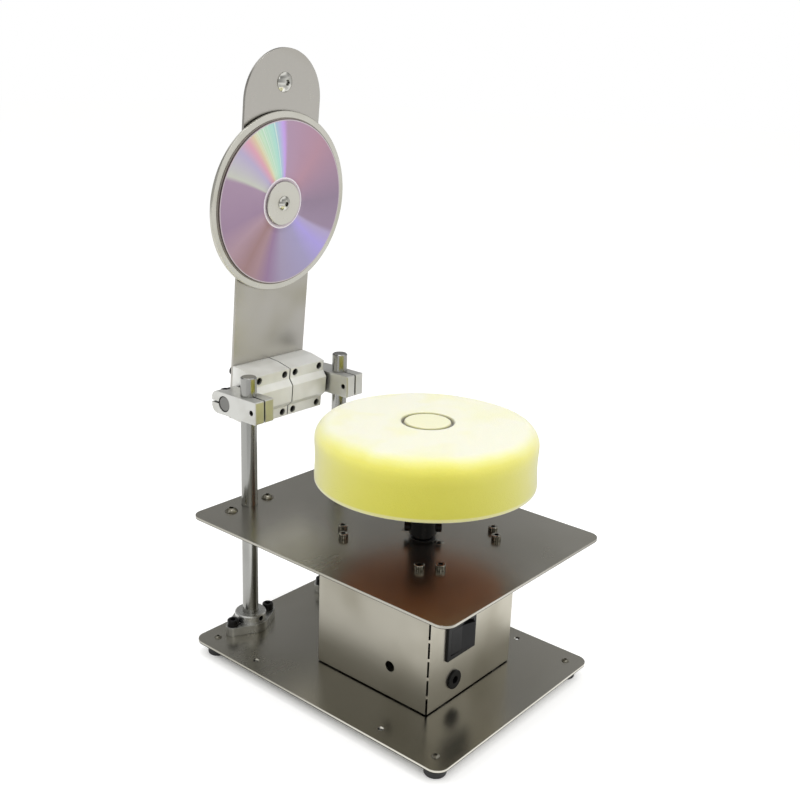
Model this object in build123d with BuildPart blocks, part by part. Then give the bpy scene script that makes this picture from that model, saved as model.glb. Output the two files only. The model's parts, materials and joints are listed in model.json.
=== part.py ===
from build123d import *
import os
from math import cos, radians, sin, sqrt

# A bench machine that polishes scratched discs. A sheet-metal box between two plates holds an upright
# motor, which turns a foam pad above the upper plate. Two round posts at the back carry a cross shaft,
# and an arm of two linear bearing blocks and a steel paddle swings on that shaft, down onto the pad.
# The paddle carries a turning platter with the disc clamped on it.
#
# Millimetres, +Z up, +X to the right. -Y is the front, with the switch. The origin is on the surface
# the feet stand on, in the middle of the whole footprint, the arm's overhang at the back included.

os.makedirs("parts", exist_ok=True)

# ---------------------------------------------------------------- driving dimensions: stand
PLATE_CENTRE_Y = -11.5  # the arm hangs out at the back, so the plates stand forward of the origin
PLATE_SIDE_MARGIN = 19.5  # past the post flanges
PLATE_DEPTH = 238.0
PLATE_THICKNESS = 2.0
PLATE_CORNER_RADIUS = 9.0
FOOT_DIAMETER = 15.0
FOOT_HEIGHT = 10.0
FOOT_INSET = 13.0  # foot centre to the plate's edges
FOOT_EDGE_RADIUS = 1.0
FOOT_SOLE = 1.4  # rubber between the plate and the nut
FOOT_SCREW = 3.0
FOOT_HEAD_HEIGHT = 1.65
BENCH_HOLE_DIAMETER = 4.5
BENCH_HOLE_INSET = 11.0  # hole centre to the plate's side
BENCH_HOLE_PITCH = 122.0  # front to back

BOX_WIDTH = 98.0
BOX_DEPTH = 103.0
BOX_HEIGHT = 100.0
BOX_FORWARD = 23.0  # box centre ahead of the plates' centre
SHEET = 1.5
FOLD_SLOTS = 7  # cut along each upright fold, so that the sheet folds by hand
FOLD_BRIDGE = 2.4  # sheet left between two slots
FOLD_SLOT = 1.0  # slot's half width, on each face of the corner
WALL_GAP = 1.0  # shadow line under each wall, which stands on its tabs
TAB_WIDTH = 9.0
TAB_SPACING = 1.0  # between the tabs of two panels at a corner
TAB_HOLE_DEPTH = 7.0  # screw centre to the panel's outer face
TAB_SCREW = 4.0
VENT_HOLE_DIAMETER = 8.0
VENT_HOLE_HEIGHT = 24.5  # above the base plate
VENT_HOLE_SETBACK = 33.5  # behind the box's front face

# ---------------------------------------------------------------- driving dimensions: posts and shaft
POST_DIAMETER = 12.0
POST_REAR_INSET = 16.5  # post centre to the plates' rear edge
POST_STUB = 23.0  # post above the cross shaft's axis
POST_CHAMFER = 0.8
FLANGE_PITCH = 36.0
FLANGE_LUG_RADIUS = 5.5
FLANGE_WIDTH = 28.0
FLANGE_THICKNESS = 7.0
FLANGE_HEIGHT = 13.0  # with its collar
FLANGE_COLLAR_WALL = 6.0
FLANGE_SCREW = 5.0
FLANGE_HEAD_DIAMETER = 9.5  # low heads, on the deck
FLANGE_HEAD_HEIGHT = 3.0
SET_SCREW = 4.0
SET_SCREW_RECESS = 2.0
CLAMP_WIDTH = 18.0
CLAMP_HEIGHT = 17.0
CLAMP_FRONT = 17.0  # front face to the post's axis
CLAMP_BORE_SPACING = 17.0  # post's axis to the cross shaft's axis
CLAMP_REAR = 13.5  # cross shaft's axis to the rear end
CLAMP_REAR_RADIUS = 6.0
CLAMP_SLIT = 1.5
CLAMP_BOLT = 4.0
CLAMP_BOLT_WALL = 0.7
CLAMP_HEAD_RECESS = 4.6
CLAMP_TIP_RECESS = 2.0  # front bolt's tip inside the clamp's face
CLAMP_CHAMFER = 0.6
SHAFT_END_RECESS = 0.5  # cross shaft's ends inside the clamps' outer faces

# ---------------------------------------------------------------- driving dimensions: arm
ARM_LEAN = 4.8  # degrees the raised arm leans forward
BLOCK_LENGTH = 36.0
BLOCK_GAP = 1.0  # between the two blocks
BLOCK_END_FLOAT = 2.5  # from a block to its cross clamp
BLOCK_WIDTH = 42.0
BLOCK_BASE = 15.0  # shaft axis to the mounting face
BLOCK_TOP = 13.0  # shaft axis to the top of the hump
BLOCK_SHOULDER = 9.0  # shaft axis to the shoulders
BLOCK_SIDE_RISE = 10.5  # upright part of the sides, from the mounting face
BLOCK_SHOULDER_WIDTH = 38.0
BLOCK_HUMP_FOOT = 22.0
BLOCK_HUMP_WIDTH = 13.0
BLOCK_SCREW = 4.0
BLOCK_SCREW_PITCH = 26.0  # along the shaft
BLOCK_SCREW_SPREAD = 30.5  # across it
BLOCK_HOLE_DIAMETER = 5.5  # open end of a screw's hole, on the shoulder
BLOCK_HOLE_DEPTH = 4.5
BEARING_DIAMETER = 21.0
BEARING_LENGTH = 30.0
PADDLE_THICKNESS = 2.0
PADDLE_TAIL = 21.0  # below the shaft's axis
PADDLE_END = 42.8  # beyond the platter's rim
HANDLE_INSET = 23.5  # handle's screw to the paddle's round end
HANDLE_SCREW = 6.0
HANDLE_HEAD_DIAMETER = 14.0
HANDLE_HEAD_HEIGHT = 3.2
HANDLE_SCREW_LENGTH = 14.0
KNOB_LENGTH = 20.0
KNOB_DIAMETER = 18.0
KNOB_NECK_DIAMETER = 12.0
KNOB_NECK_LENGTH = 4.0
KNOB_SHOULDER = 13.0  # where it reaches its full diameter
KNOB_HOLE_END = 1.0  # past the screw's tip
KNOB_EDGE_RADIUS = 3.0

# ---------------------------------------------------------------- driving dimensions: platter
PLATTER_RISE = 142.2  # platter's axis above the shaft's axis
PLATTER_DIAMETER = 131.0
PLATTER_THICKNESS = 2.5
PLATTER_GAP = 1.0  # to the paddle
PLATTER_EDGE_CHAMFER = 0.4
MAT_DIAMETER = 122.0
MAT_THICKNESS = 0.5
DISC_DIAMETER = 120.0
DISC_THICKNESS = 1.2
DISC_HOLE_DIAMETER = 15.0
CAP_DIAMETER = 32.0
CAP_THICKNESS = 1.5
CAP_CHAMFER = 0.4
HUB_SCREW = 5.0
HUB_SCREW_LENGTH = 9.0
HUB_HEAD_DIAMETER = 11.0
HUB_HEAD_HEIGHT = 3.0
SPINDLE_DIAMETER = 8.0
SPINDLE_BOSS_WALL = 2.5
ROLLER_BEARING_DIAMETER = 22.0
ROLLER_BEARING_WIDTH = 7.0
CUP_WALL = 3.0
CUP_FLANGE_WIDTH = 6.0
CUP_FLANGE_THICKNESS = 2.5
CUP_SCREW = 3.0
CUP_SCREWS = 3
CLIP_THICKNESS = 1.0
CLIP_WIDTH = 2.0
CLIP_GROOVE_DEPTH = 0.5

# ---------------------------------------------------------------- driving dimensions: pad and motor
PAD_REACH = 145.8  # pad's axis in front of the cross shaft's axis
PAD_DIAMETER = 155.0
PAD_THICKNESS = 42.1
PAD_EDGE_RADIUS = 10.0
PAD_GROOVE_DIAMETER = 34.5
PAD_GROOVE_WIDTH = 2.4
PAD_GROOVE_DEPTH = 3.0
BACKING_DIAMETER = 120.0
BACKING_THICKNESS = 5.0
BACKING_EDGE = 2.0
BACKING_HUB_DIAMETER = 72.0  # its full thickness
ADAPTER_LENGTH = 38.5
ADAPTER_DIAMETER = 20.0
ADAPTER_NECK_DIAMETER = 15.0
ADAPTER_NECK_LENGTH = 2.5
ADAPTER_STUD_DIAMETER = 14.0
ADAPTER_SCREW = 4.0
ADAPTER_SCREW_HEIGHT = 4.0  # above the neck
ADAPTER_SCREW_ANGLE = -50.0  # seen from above, from +X
MOTOR_DIAMETER = 42.0
MOTOR_LENGTH = 66.0
MOTOR_EDGE_RADIUS = 2.0
MOTOR_BOSS_DIAMETER = 17.5
MOTOR_SCREW = 4.0
MOTOR_SCREW_PITCH = 29.0
MOTOR_HOLE_DEPTH = 6.0  # in the motor's face
MOTOR_SCREW_LENGTH = 7.0  # its head included
MOTOR_SHAFT_DIAMETER = 5.0
MOTOR_SHAFT_IN_ADAPTER = 24.0

# ---------------------------------------------------------------- driving dimensions: switch and jack
SWITCH_X = -14.75
SWITCH_HEIGHT_UP = 47.25  # centre above the base plate
SWITCH_WIDTH = 31.5
SWITCH_HEIGHT = 26.5
SWITCH_BEZEL = 2.0
SWITCH_RIM = 2.2  # bezel beyond the body
SWITCH_WALL = 1.2
SWITCH_DEPTH = 17.0  # body behind the panel's outer face
SWITCH_EDGE_RADIUS = 0.8
SWITCH_CHAMFER = 0.3
ROCKER_CAVITY = 8.0
ROCKER_PIVOT_DEPTH = 2.0  # behind the panel's outer face
ROCKER_FACE = 4.2  # pivot to the middle of the face
ROCKER_BACK = 3.0  # pivot to the back of the rocker
ROCKER_DISH = 6.0  # degrees each half slopes up from the middle
ROCKER_TILT = 10.0  # degrees to either side
ROCKER_PIN_DIAMETER = 3.0
ROCKER_PIN_LENGTH = 0.9
BLADE_WIDTH = 4.8
BLADE_THICKNESS = 0.8
BLADE_LENGTH = 5.0
BLADE_PITCH_X = 14.0
BLADE_PITCH_Z = 10.0
JACK_X = -20.0
JACK_HEIGHT_UP = 16.0
JACK_FLANGE_DIAMETER = 14.0
JACK_FLANGE_THICKNESS = 1.8
JACK_BARREL_DIAMETER = 11.0
JACK_BARREL_LENGTH = 14.0
JACK_SOCKET_DIAMETER = 5.8
JACK_SOCKET_DEPTH = 9.5
JACK_PIN_DIAMETER = 2.1
JACK_PIN_INSET = 3.0  # pin's tip inside the flange's face
JACK_CHAMFER = 0.4
JACK_NUT_THICKNESS = 2.5
JACK_NUT_FLATS = 14.0

# ---------------------------------------------------------------- named clearances
FIT = 0.02  # radial, between pieces that are clamped or pressed together
RUNNING_FIT = 0.04  # radial, where a shaft turns
TURNING_GAP = 0.15  # between faces that turn past each other
CLOSED_GAP = 0.4  # disc to pad, with the arm level
SCREW_CLEARANCE = 0.2  # radial, round a screw's shank
HEAD_CLEARANCE = 0.3  # radial, round a screw's head
PANEL_CLEARANCE = 0.2  # all round, in a panel cut-out
ADAPTER_GAP = 0.8  # adapter to the deck plate
ROCKER_CLEARANCE = 0.3  # rocker to its opening

# ---------------------------------------------------------------- derived heights and places
BASE_TOP = FOOT_HEIGHT + PLATE_THICKNESS
DECK_BOTTOM = BASE_TOP + BOX_HEIGHT
DECK_TOP = DECK_BOTTOM + PLATE_THICKNESS
BOX_CENTRE_Y = PLATE_CENTRE_Y - BOX_FORWARD
BOX_FRONT = BOX_CENTRE_Y - BOX_DEPTH / 2
BOX_REAR = BOX_CENTRE_Y + BOX_DEPTH / 2
TAB_REACH = TAB_HOLE_DEPTH + TAB_WIDTH / 2
TAB_CORNER = TAB_REACH + TAB_SPACING + TAB_WIDTH / 2  # screw centre to the box's corner, along the panel

BLOCKS_LENGTH = 2 * BLOCK_LENGTH + BLOCK_GAP
PADDLE_WIDTH = BLOCKS_LENGTH
POST_X = (BLOCKS_LENGTH + CLAMP_WIDTH) / 2 + BLOCK_END_FLOAT
POST_Y = PLATE_CENTRE_Y + PLATE_DEPTH / 2 - POST_REAR_INSET
SHAFT_Y = POST_Y + CLAMP_BORE_SPACING
PAD_Y = SHAFT_Y - PAD_REACH
PLATE_WIDTH = 2 * (POST_X + FLANGE_PITCH / 2 + FLANGE_LUG_RADIUS + PLATE_SIDE_MARGIN)
FOOT_X = PLATE_WIDTH / 2 - FOOT_INSET
FOOT_Y = PLATE_DEPTH / 2 - FOOT_INSET
BENCH_HOLE_X = PLATE_WIDTH / 2 - BENCH_HOLE_INSET
PADDLE_RISE = PLATTER_RISE + PLATTER_DIAMETER / 2 + PADDLE_END
HANDLE_RISE = PADDLE_RISE - HANDLE_INSET

ADAPTER_BOTTOM = DECK_TOP + ADAPTER_GAP
BACKING_BOTTOM = ADAPTER_BOTTOM + ADAPTER_LENGTH
PAD_BOTTOM = BACKING_BOTTOM + BACKING_THICKNESS
PAD_TOP = PAD_BOTTOM + PAD_THICKNESS

# Along the arm's own forward axis, from the shaft's axis: positive towards the disc's side.
PADDLE_FRONT = -BLOCK_BASE
PADDLE_BACK = PADDLE_FRONT - PADDLE_THICKNESS
PLATTER_BACK = PADDLE_FRONT + PLATTER_GAP
PLATTER_FRONT = PLATTER_BACK + PLATTER_THICKNESS
MAT_FRONT = PLATTER_FRONT + MAT_THICKNESS
DISC_FRONT = MAT_FRONT + DISC_THICKNESS
CAP_FRONT = DISC_FRONT + CAP_THICKNESS
BEARING_FRONT = PADDLE_BACK - TURNING_GAP
BEARING_BACK = BEARING_FRONT - ROLLER_BEARING_WIDTH
CLIP_FRONT = BEARING_BACK - TURNING_GAP

# With the arm level, the disc lies on the pad: this sets the shaft's height, and so the posts' length.
SHAFT_Z = PAD_TOP + CLOSED_GAP + DISC_FRONT
POST_LENGTH = SHAFT_Z + POST_STUB - BASE_TOP
SHAFT_LENGTH = 2 * POST_X + CLAMP_WIDTH - 2 * SHAFT_END_RECESS

LEAN = radians(ARM_LEAN)
UP_ARM = Vector(0, -sin(LEAN), cos(LEAN))
OUT_OF_ARM = Vector(0, -cos(LEAN), -sin(LEAN))
# Across the arm: x along the shaft, y up the paddle, normal towards the disc's side.
ARM = Plane(origin=(0, SHAFT_Y, SHAFT_Z), x_dir=(1, 0, 0), z_dir=OUT_OF_ARM)
# Along the arm, for turned pieces on its normals: x along the shaft, y towards the disc's side.
ARM_PROFILE = Plane(origin=(0, SHAFT_Y, SHAFT_Z), x_dir=(1, 0, 0), z_dir=-UP_ARM)
# The front panel's outer face: x to the right, y up, normal out to the front.
PANEL = Plane(origin=(0, BOX_FRONT, BASE_TOP), x_dir=(1, 0, 0), z_dir=(0, -1, 0))
UPRIGHT_MOTOR = Plane.XZ.offset(-PAD_Y)
MOTOR_AXIS = Axis((0, PAD_Y, 0), (0, 0, 1))

UP = (Align.CENTER, Align.CENTER, Align.MIN)
DOWN = (Align.CENTER, Align.CENTER, Align.MAX)


# ---------------------------------------------------------------- proportions of standard screws
# Shares of the thread's diameter, and for a button head of the head's height.
SOCKET_RADIUS = 0.4
SOCKET_DEPTH = 0.5
HEAD_CHAMFER = 0.1
NUT_HEIGHT = 0.8
FLAT_SOCKET = 0.75
SET_SCREW_SOCKET = 0.8
BUTTON_RIM = 0.15
BUTTON_SOCKET_RADIUS = 0.33
BUTTON_SOCKET_DEPTH = 0.6


# ---------------------------------------------------------------- helpers
def write(piece, name):
    """Labels a finished sub-part and writes it."""
    piece.part.label = name
    export_step(piece.part, f"parts/{name}.step")


def spots(plane, points):
    """Locations on a plane, at points given in its own x and y."""
    return [plane.location * Location((x, y, 0)) for x, y in points]


def corners(half_x, half_y):
    """The four corners of a rectangle round the origin."""
    return [(sx * half_x, sy * half_y) for sx in (-1, 1) for sy in (-1, 1)]


def write_set(name, piece, locations):
    """Writes copies of one small piece as separate solids of one sub-part."""
    with BuildPart() as pieces:
        with Locations(*locations):
            add(piece)
    write(pieces, name)


def head_size(thread):
    """Diameter of a socket cap head, and width across the flats of a nut, for a metric thread."""
    return 1.5 * thread + 1


def cut_socket(thread, top):
    """Cuts a screw's hexagon socket into the face at height top."""
    with BuildSketch(Plane.XY.offset(top)) as hexagon:
        RegularPolygon(SOCKET_RADIUS * thread, 6, major_radius=False)
    extrude(hexagon.sketch, amount=-SOCKET_DEPTH * thread, mode=Mode.SUBTRACT)


def cap_screw(thread, length):
    """Socket cap screw: the head stands on z = 0, the shank hangs below."""
    with BuildPart() as screw:
        Cylinder(head_size(thread) / 2, thread, align=UP)
        chamfer(screw.edges().group_by(Axis.Z)[-1], HEAD_CHAMFER * thread)
        cut_socket(thread, thread)
        Cylinder(thread / 2, length, align=DOWN)
    return screw.part


def button_screw(thread, length, head_diameter, head_height):
    """Screw with a domed head that stands on z = 0."""
    radius, rim = head_diameter / 2, BUTTON_RIM * head_height
    with BuildPart() as screw:
        with BuildSketch(Plane.XZ):
            with BuildLine():
                Polyline((0, head_height), (0, 0), (radius, 0), (radius, rim))
                TangentArc((0, head_height), (radius, rim), tangent=(1, 0))
            make_face()
        revolve(axis=Axis.Z)
        with BuildSketch(Plane.XY.offset(head_height)):
            RegularPolygon(BUTTON_SOCKET_RADIUS * thread, 6, major_radius=False)
        extrude(amount=-BUTTON_SOCKET_DEPTH * head_height, mode=Mode.SUBTRACT)
        Cylinder(thread / 2, length, align=DOWN)
    return screw.part


def flat_screw(thread, length):
    """Countersunk screw: the head's face lies at z = 0, and length includes the head."""
    with BuildPart() as screw:
        Cylinder(thread / 2, length, align=DOWN)
        Cone(thread / 2, thread, thread / 2, align=DOWN)
        cut_socket(FLAT_SOCKET * thread, 0)
    return screw.part


def nut(thread):
    """Hexagon nut that hangs below z = 0, with its hole a fit on the thread."""
    with BuildPart() as hexagon:
        with BuildSketch():
            RegularPolygon(head_size(thread) / 2, 6, major_radius=False)
            Circle(thread / 2 + FIT, mode=Mode.SUBTRACT)
        extrude(amount=-NUT_HEIGHT * thread)
    return hexagon.part


def set_screw(thread, length):
    """Headless screw from z = 0 down, with its socket at the top."""
    with BuildPart() as screw:
        Cylinder(thread / 2, length, align=DOWN)
        cut_socket(SET_SCREW_SOCKET * thread, 0)
    return screw.part


def drill(plane, points, diameter, depth=None):
    """Drills round holes into the part being built, down from a plane."""
    with Locations(*spots(plane, points)):
        Hole(diameter / 2, depth)


# ---------------------------------------------------------------- patterns shared by several pieces
PLATE_PLANE = Plane((0, PLATE_CENTRE_Y, 0))
BOX_PLANE = Plane((0, BOX_CENTRE_Y, 0))
POST_PLANE = Plane((0, POST_Y, 0))
PAD_PLANE = Plane((0, PAD_Y, 0))
FOOT_POINTS = corners(FOOT_X, FOOT_Y)
BENCH_POINTS = corners(BENCH_HOLE_X, BENCH_HOLE_PITCH / 2)
FRONT_TAB_POINTS = corners(BOX_WIDTH / 2 - TAB_CORNER, BOX_DEPTH / 2 - TAB_HOLE_DEPTH)
SIDE_TAB_POINTS = corners(BOX_WIDTH / 2 - TAB_HOLE_DEPTH, BOX_DEPTH / 2 - TAB_CORNER)
TAB_POINTS = FRONT_TAB_POINTS + SIDE_TAB_POINTS
POST_POINTS = [(-POST_X, 0), (POST_X, 0)]
FLANGE_POINTS = [(side * POST_X + end * FLANGE_PITCH / 2, 0) for side in (-1, 1) for end in (-1, 1)]
MOTOR_POINTS = [(0, -MOTOR_SCREW_PITCH / 2), (0, MOTOR_SCREW_PITCH / 2)]
TAB_HOLE = TAB_SCREW + 2 * SCREW_CLEARANCE
FLANGE_HOLE = FLANGE_SCREW + 2 * SCREW_CLEARANCE
SIDES = {"left": -1, "right": 1}


# ---------------------------------------------------------------- plates and feet
def plate_blank(bottom):
    """The outline both plates share, extruded into the part being built."""
    with BuildSketch(PLATE_PLANE.offset(bottom)) as outline:
        RectangleRounded(PLATE_WIDTH, PLATE_DEPTH, PLATE_CORNER_RADIUS)
    extrude(outline.sketch, amount=PLATE_THICKNESS)


def base_plate():
    """Lower plate, tapped for the post flanges, with holes for the feet, the bench and the box's tabs."""
    with BuildPart() as plate:
        plate_blank(FOOT_HEIGHT)
        drill(PLATE_PLANE.offset(BASE_TOP), FOOT_POINTS, FOOT_SCREW + 2 * SCREW_CLEARANCE)
        drill(PLATE_PLANE.offset(BASE_TOP), BENCH_POINTS, BENCH_HOLE_DIAMETER)
        drill(POST_PLANE.offset(BASE_TOP), FLANGE_POINTS, FLANGE_SCREW + 2 * FIT)
        with Locations(*spots(BOX_PLANE.offset(FOOT_HEIGHT).rotated((180, 0, 0)), TAB_POINTS)):
            CounterSinkHole(TAB_HOLE / 2, TAB_SCREW + FIT)
    write(plate, "base_plate")


def deck_plate():
    """Upper plate, which the posts and the motor's boss pass through."""
    with BuildPart() as plate:
        plate_blank(DECK_BOTTOM)
        drill(POST_PLANE.offset(DECK_TOP), POST_POINTS, POST_DIAMETER + 2 * SCREW_CLEARANCE)
        drill(POST_PLANE.offset(DECK_TOP), FLANGE_POINTS, FLANGE_HOLE)
        drill(BOX_PLANE.offset(DECK_TOP), TAB_POINTS, TAB_HOLE)
        drill(PAD_PLANE.offset(DECK_TOP), [(0, 0)], MOTOR_BOSS_DIAMETER + 2 * SCREW_CLEARANCE)
        with Locations(*spots(PAD_PLANE.offset(DECK_TOP), MOTOR_POINTS)):
            CounterSinkHole(MOTOR_SCREW / 2 + SCREW_CLEARANCE, MOTOR_SCREW + FIT)
    write(plate, "deck_plate")


def feet():
    """Rubber feet with a recess for the nut, and the screws and nuts that hold them."""
    nut_top = FOOT_HEIGHT - FOOT_SOLE
    with BuildPart() as foot:
        Cylinder(FOOT_DIAMETER / 2, FOOT_HEIGHT, align=UP)
        fillet(foot.edges().group_by(Axis.Z)[0], FOOT_EDGE_RADIUS)
        Hole(FOOT_SCREW / 2 + FIT)
        with Locations((0, 0, nut_top)):
            Hole(head_size(FOOT_SCREW) / sqrt(3) + HEAD_CLEARANCE, nut_top)
    shank = PLATE_THICKNESS + FOOT_SOLE + NUT_HEIGHT * FOOT_SCREW
    screw = button_screw(FOOT_SCREW, shank, head_size(FOOT_SCREW), FOOT_HEAD_HEIGHT)
    write_set("rubber_feet", foot.part, spots(PLATE_PLANE, FOOT_POINTS))
    write_set("foot_screws", screw, spots(PLATE_PLANE.offset(BASE_TOP), FOOT_POINTS))
    write_set("foot_nuts", nut(FOOT_SCREW), spots(PLATE_PLANE.offset(nut_top), FOOT_POINTS))


# ---------------------------------------------------------------- box
def fold_heights():
    """Heights of the bridges between the slots, from the sheet's lower edge."""
    pitch = BOX_HEIGHT / FOLD_SLOTS
    return [pitch * number for number in range(1, FOLD_SLOTS)]


def wall_blank(plan, width, tab_offset):
    """A wall in the part being built, mitred at its folds, with two tabs bent in at each end.

    The plan lies on the base plate: x along the wall's outer face, y into the box."""
    half = width / 2 - FOLD_SLOT
    with BuildSketch(plan.offset(WALL_GAP)) as wall:
        with BuildLine():
            Polyline((-half, 0), (half, 0), (half - SHEET, SHEET), (SHEET - half, SHEET), close=True)
        make_face()
    extrude(wall.sketch, amount=BOX_HEIGHT - WALL_GAP)
    for bottom in (0, BOX_HEIGHT - SHEET):
        with BuildSketch(plan.offset(bottom)) as tabs:
            with Locations((-tab_offset, TAB_REACH / 2), (tab_offset, TAB_REACH / 2)):
                Rectangle(TAB_WIDTH, TAB_REACH)
        extrude(tabs.sketch, amount=SHEET)


def fold_bridges(plan, width):
    """Joins the wall being built to its neighbours between the slots, round the corner's outside."""
    for height in fold_heights():
        with BuildSketch(plan.offset(height - FOLD_BRIDGE / 2)) as bridges:
            for side in (-1, 1):
                corner = side * width / 2
                outer = corner - side * FOLD_SLOT
                with BuildLine():
                    Polyline(
                        (outer, 0),
                        (corner, FOLD_SLOT),
                        (corner - side * SHEET, FOLD_SLOT + SHEET),
                        (outer - side * SHEET, SHEET),
                        close=True,
                    )
                make_face()
        extrude(bridges.sketch, amount=FOLD_BRIDGE)


def drill_tabs(points):
    """Screw holes through the bent tabs of the wall being built."""
    drill(BOX_PLANE.offset(DECK_BOTTOM), points, TAB_HOLE)


def front_and_rear_panels():
    """Walls across the box. The front one has the cut-outs of the switch and the power socket."""
    tab_offset = BOX_WIDTH / 2 - TAB_CORNER
    cut_width = SWITCH_WIDTH - 2 * SWITCH_RIM + 2 * PANEL_CLEARANCE
    cut_height = SWITCH_HEIGHT - 2 * SWITCH_RIM + 2 * PANEL_CLEARANCE
    front_plan = Plane((0, BOX_FRONT, BASE_TOP))
    rear_plan = Plane((0, BOX_REAR, BASE_TOP), (-1, 0, 0), (0, 0, 1))
    with BuildPart() as front:
        wall_blank(front_plan, BOX_WIDTH, tab_offset)
        fold_bridges(front_plan, BOX_WIDTH)
        drill_tabs([p for p in FRONT_TAB_POINTS if p[1] < 0])
        with BuildSketch(PANEL):
            with Locations((SWITCH_X, SWITCH_HEIGHT_UP)):
                Rectangle(cut_width, cut_height)
            with Locations((JACK_X, JACK_HEIGHT_UP)):
                Circle(JACK_BARREL_DIAMETER / 2 + PANEL_CLEARANCE)
        extrude(amount=-SHEET, mode=Mode.SUBTRACT)
    write(front, "box_panel_front")
    with BuildPart() as rear:
        wall_blank(rear_plan, BOX_WIDTH, tab_offset)
        fold_bridges(rear_plan, BOX_WIDTH)
        drill_tabs([p for p in FRONT_TAB_POINTS if p[1] > 0])
    write(rear, "box_panel_rear")


def side_panels():
    """Walls along the box. The left one has a round vent hole low down."""
    tab_offset = BOX_DEPTH / 2 - TAB_CORNER
    for name, side in SIDES.items():
        plan = Plane((side * BOX_WIDTH / 2, BOX_CENTRE_Y, BASE_TOP), (0, side, 0), (0, 0, 1))
        face = Plane(plan.origin, (0, side, 0), (side, 0, 0))
        with BuildPart() as panel:
            wall_blank(plan, BOX_DEPTH, tab_offset)
            drill_tabs([p for p in SIDE_TAB_POINTS if p[0] * side > 0])
            if name == "left":
                vent = (BOX_DEPTH / 2 - VENT_HOLE_SETBACK, VENT_HOLE_HEIGHT)
                drill(face, [vent], VENT_HOLE_DIAMETER, SHEET)
        write(panel, f"box_panel_{name}")


def tab_fasteners():
    """Cap screws on the deck, countersunk ones under the base, and a nut behind each tab."""
    length = PLATE_THICKNESS + SHEET + TAB_SCREW
    under = BOX_PLANE.offset(DECK_BOTTOM - SHEET)
    over = BOX_PLANE.offset(BASE_TOP + SHEET).rotated((180, 0, 0))
    bottom = BOX_PLANE.offset(FOOT_HEIGHT).rotated((180, 0, 0))
    write_set("deck_screws", cap_screw(TAB_SCREW, length), spots(BOX_PLANE.offset(DECK_TOP), TAB_POINTS))
    write_set("base_screws", flat_screw(TAB_SCREW, length), spots(bottom, TAB_POINTS))
    write_set("tab_nuts", nut(TAB_SCREW), spots(under, TAB_POINTS) + spots(over, TAB_POINTS))


# ---------------------------------------------------------------- posts
def posts():
    """Two round posts, from the base plate up through the deck."""
    for name, side in SIDES.items():
        with BuildPart() as post:
            with Locations((side * POST_X, POST_Y, BASE_TOP)):
                Cylinder(POST_DIAMETER / 2, POST_LENGTH, align=UP)
            chamfer(post.edges().filter_by(GeomType.CIRCLE), POST_CHAMFER)
        write(post, f"post_{name}")


def post_flange(name, face):
    """Oval shaft support on a face, with a collar and a set screw's hole at the front."""
    collar_radius = POST_DIAMETER / 2 + FLANGE_COLLAR_WALL
    hole_height = (FLANGE_THICKNESS + FLANGE_HEIGHT) / 2
    forward = Plane(face.origin + face.z_dir * hole_height, (1, 0, 0), (0, -1, 0))
    with BuildPart() as flange:
        with BuildSketch(face):
            Circle(FLANGE_WIDTH / 2)
            with GridLocations(FLANGE_PITCH, 0, 2, 1):
                Circle(FLANGE_LUG_RADIUS)
            make_hull()
        extrude(amount=FLANGE_THICKNESS)
        with BuildSketch(face):
            Circle(collar_radius)
        extrude(amount=FLANGE_HEIGHT)
        chamfer(flange.edges().group_by(Axis(face.origin, face.z_dir))[-1], POST_CHAMFER)
        drill(face, [(0, 0)], POST_DIAMETER + 2 * FIT)
        drill(face, [(-FLANGE_PITCH / 2, 0), (FLANGE_PITCH / 2, 0)], FLANGE_HOLE)
        drill(forward.offset(collar_radius), [(0, 0)], SET_SCREW + 2 * FIT, collar_radius)
    write(flange, name)
    return forward.offset(collar_radius - SET_SCREW_RECESS).location


def post_flanges():
    """Flanges screwed into the base plate and bolted under the deck, each with a set screw."""
    set_screws = []
    for name, side in SIDES.items():
        lower = Plane((side * POST_X, POST_Y, BASE_TOP))
        upper = Plane((side * POST_X, POST_Y, DECK_BOTTOM), (1, 0, 0), (0, 0, -1))
        set_screws.append(post_flange(f"post_foot_{name}", lower))
        set_screws.append(post_flange(f"deck_flange_{name}", upper))
    grip = FLANGE_THICKNESS + PLATE_THICKNESS
    foot_seats = spots(POST_PLANE.offset(BASE_TOP + FLANGE_THICKNESS), FLANGE_POINTS)
    deck_seats = spots(POST_PLANE.offset(DECK_TOP), FLANGE_POINTS)
    nut_seats = spots(POST_PLANE.offset(DECK_BOTTOM - FLANGE_THICKNESS), FLANGE_POINTS)
    write_set("post_foot_screws", cap_screw(FLANGE_SCREW, grip), foot_seats)
    low_screw = button_screw(FLANGE_SCREW, grip + FLANGE_SCREW, FLANGE_HEAD_DIAMETER, FLANGE_HEAD_HEIGHT)
    write_set("deck_flange_screws", low_screw, deck_seats)
    write_set("deck_flange_nuts", nut(FLANGE_SCREW), nut_seats)
    write_set("flange_set_screws", set_screw(SET_SCREW, FLANGE_COLLAR_WALL - SET_SCREW_RECESS), set_screws)


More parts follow.
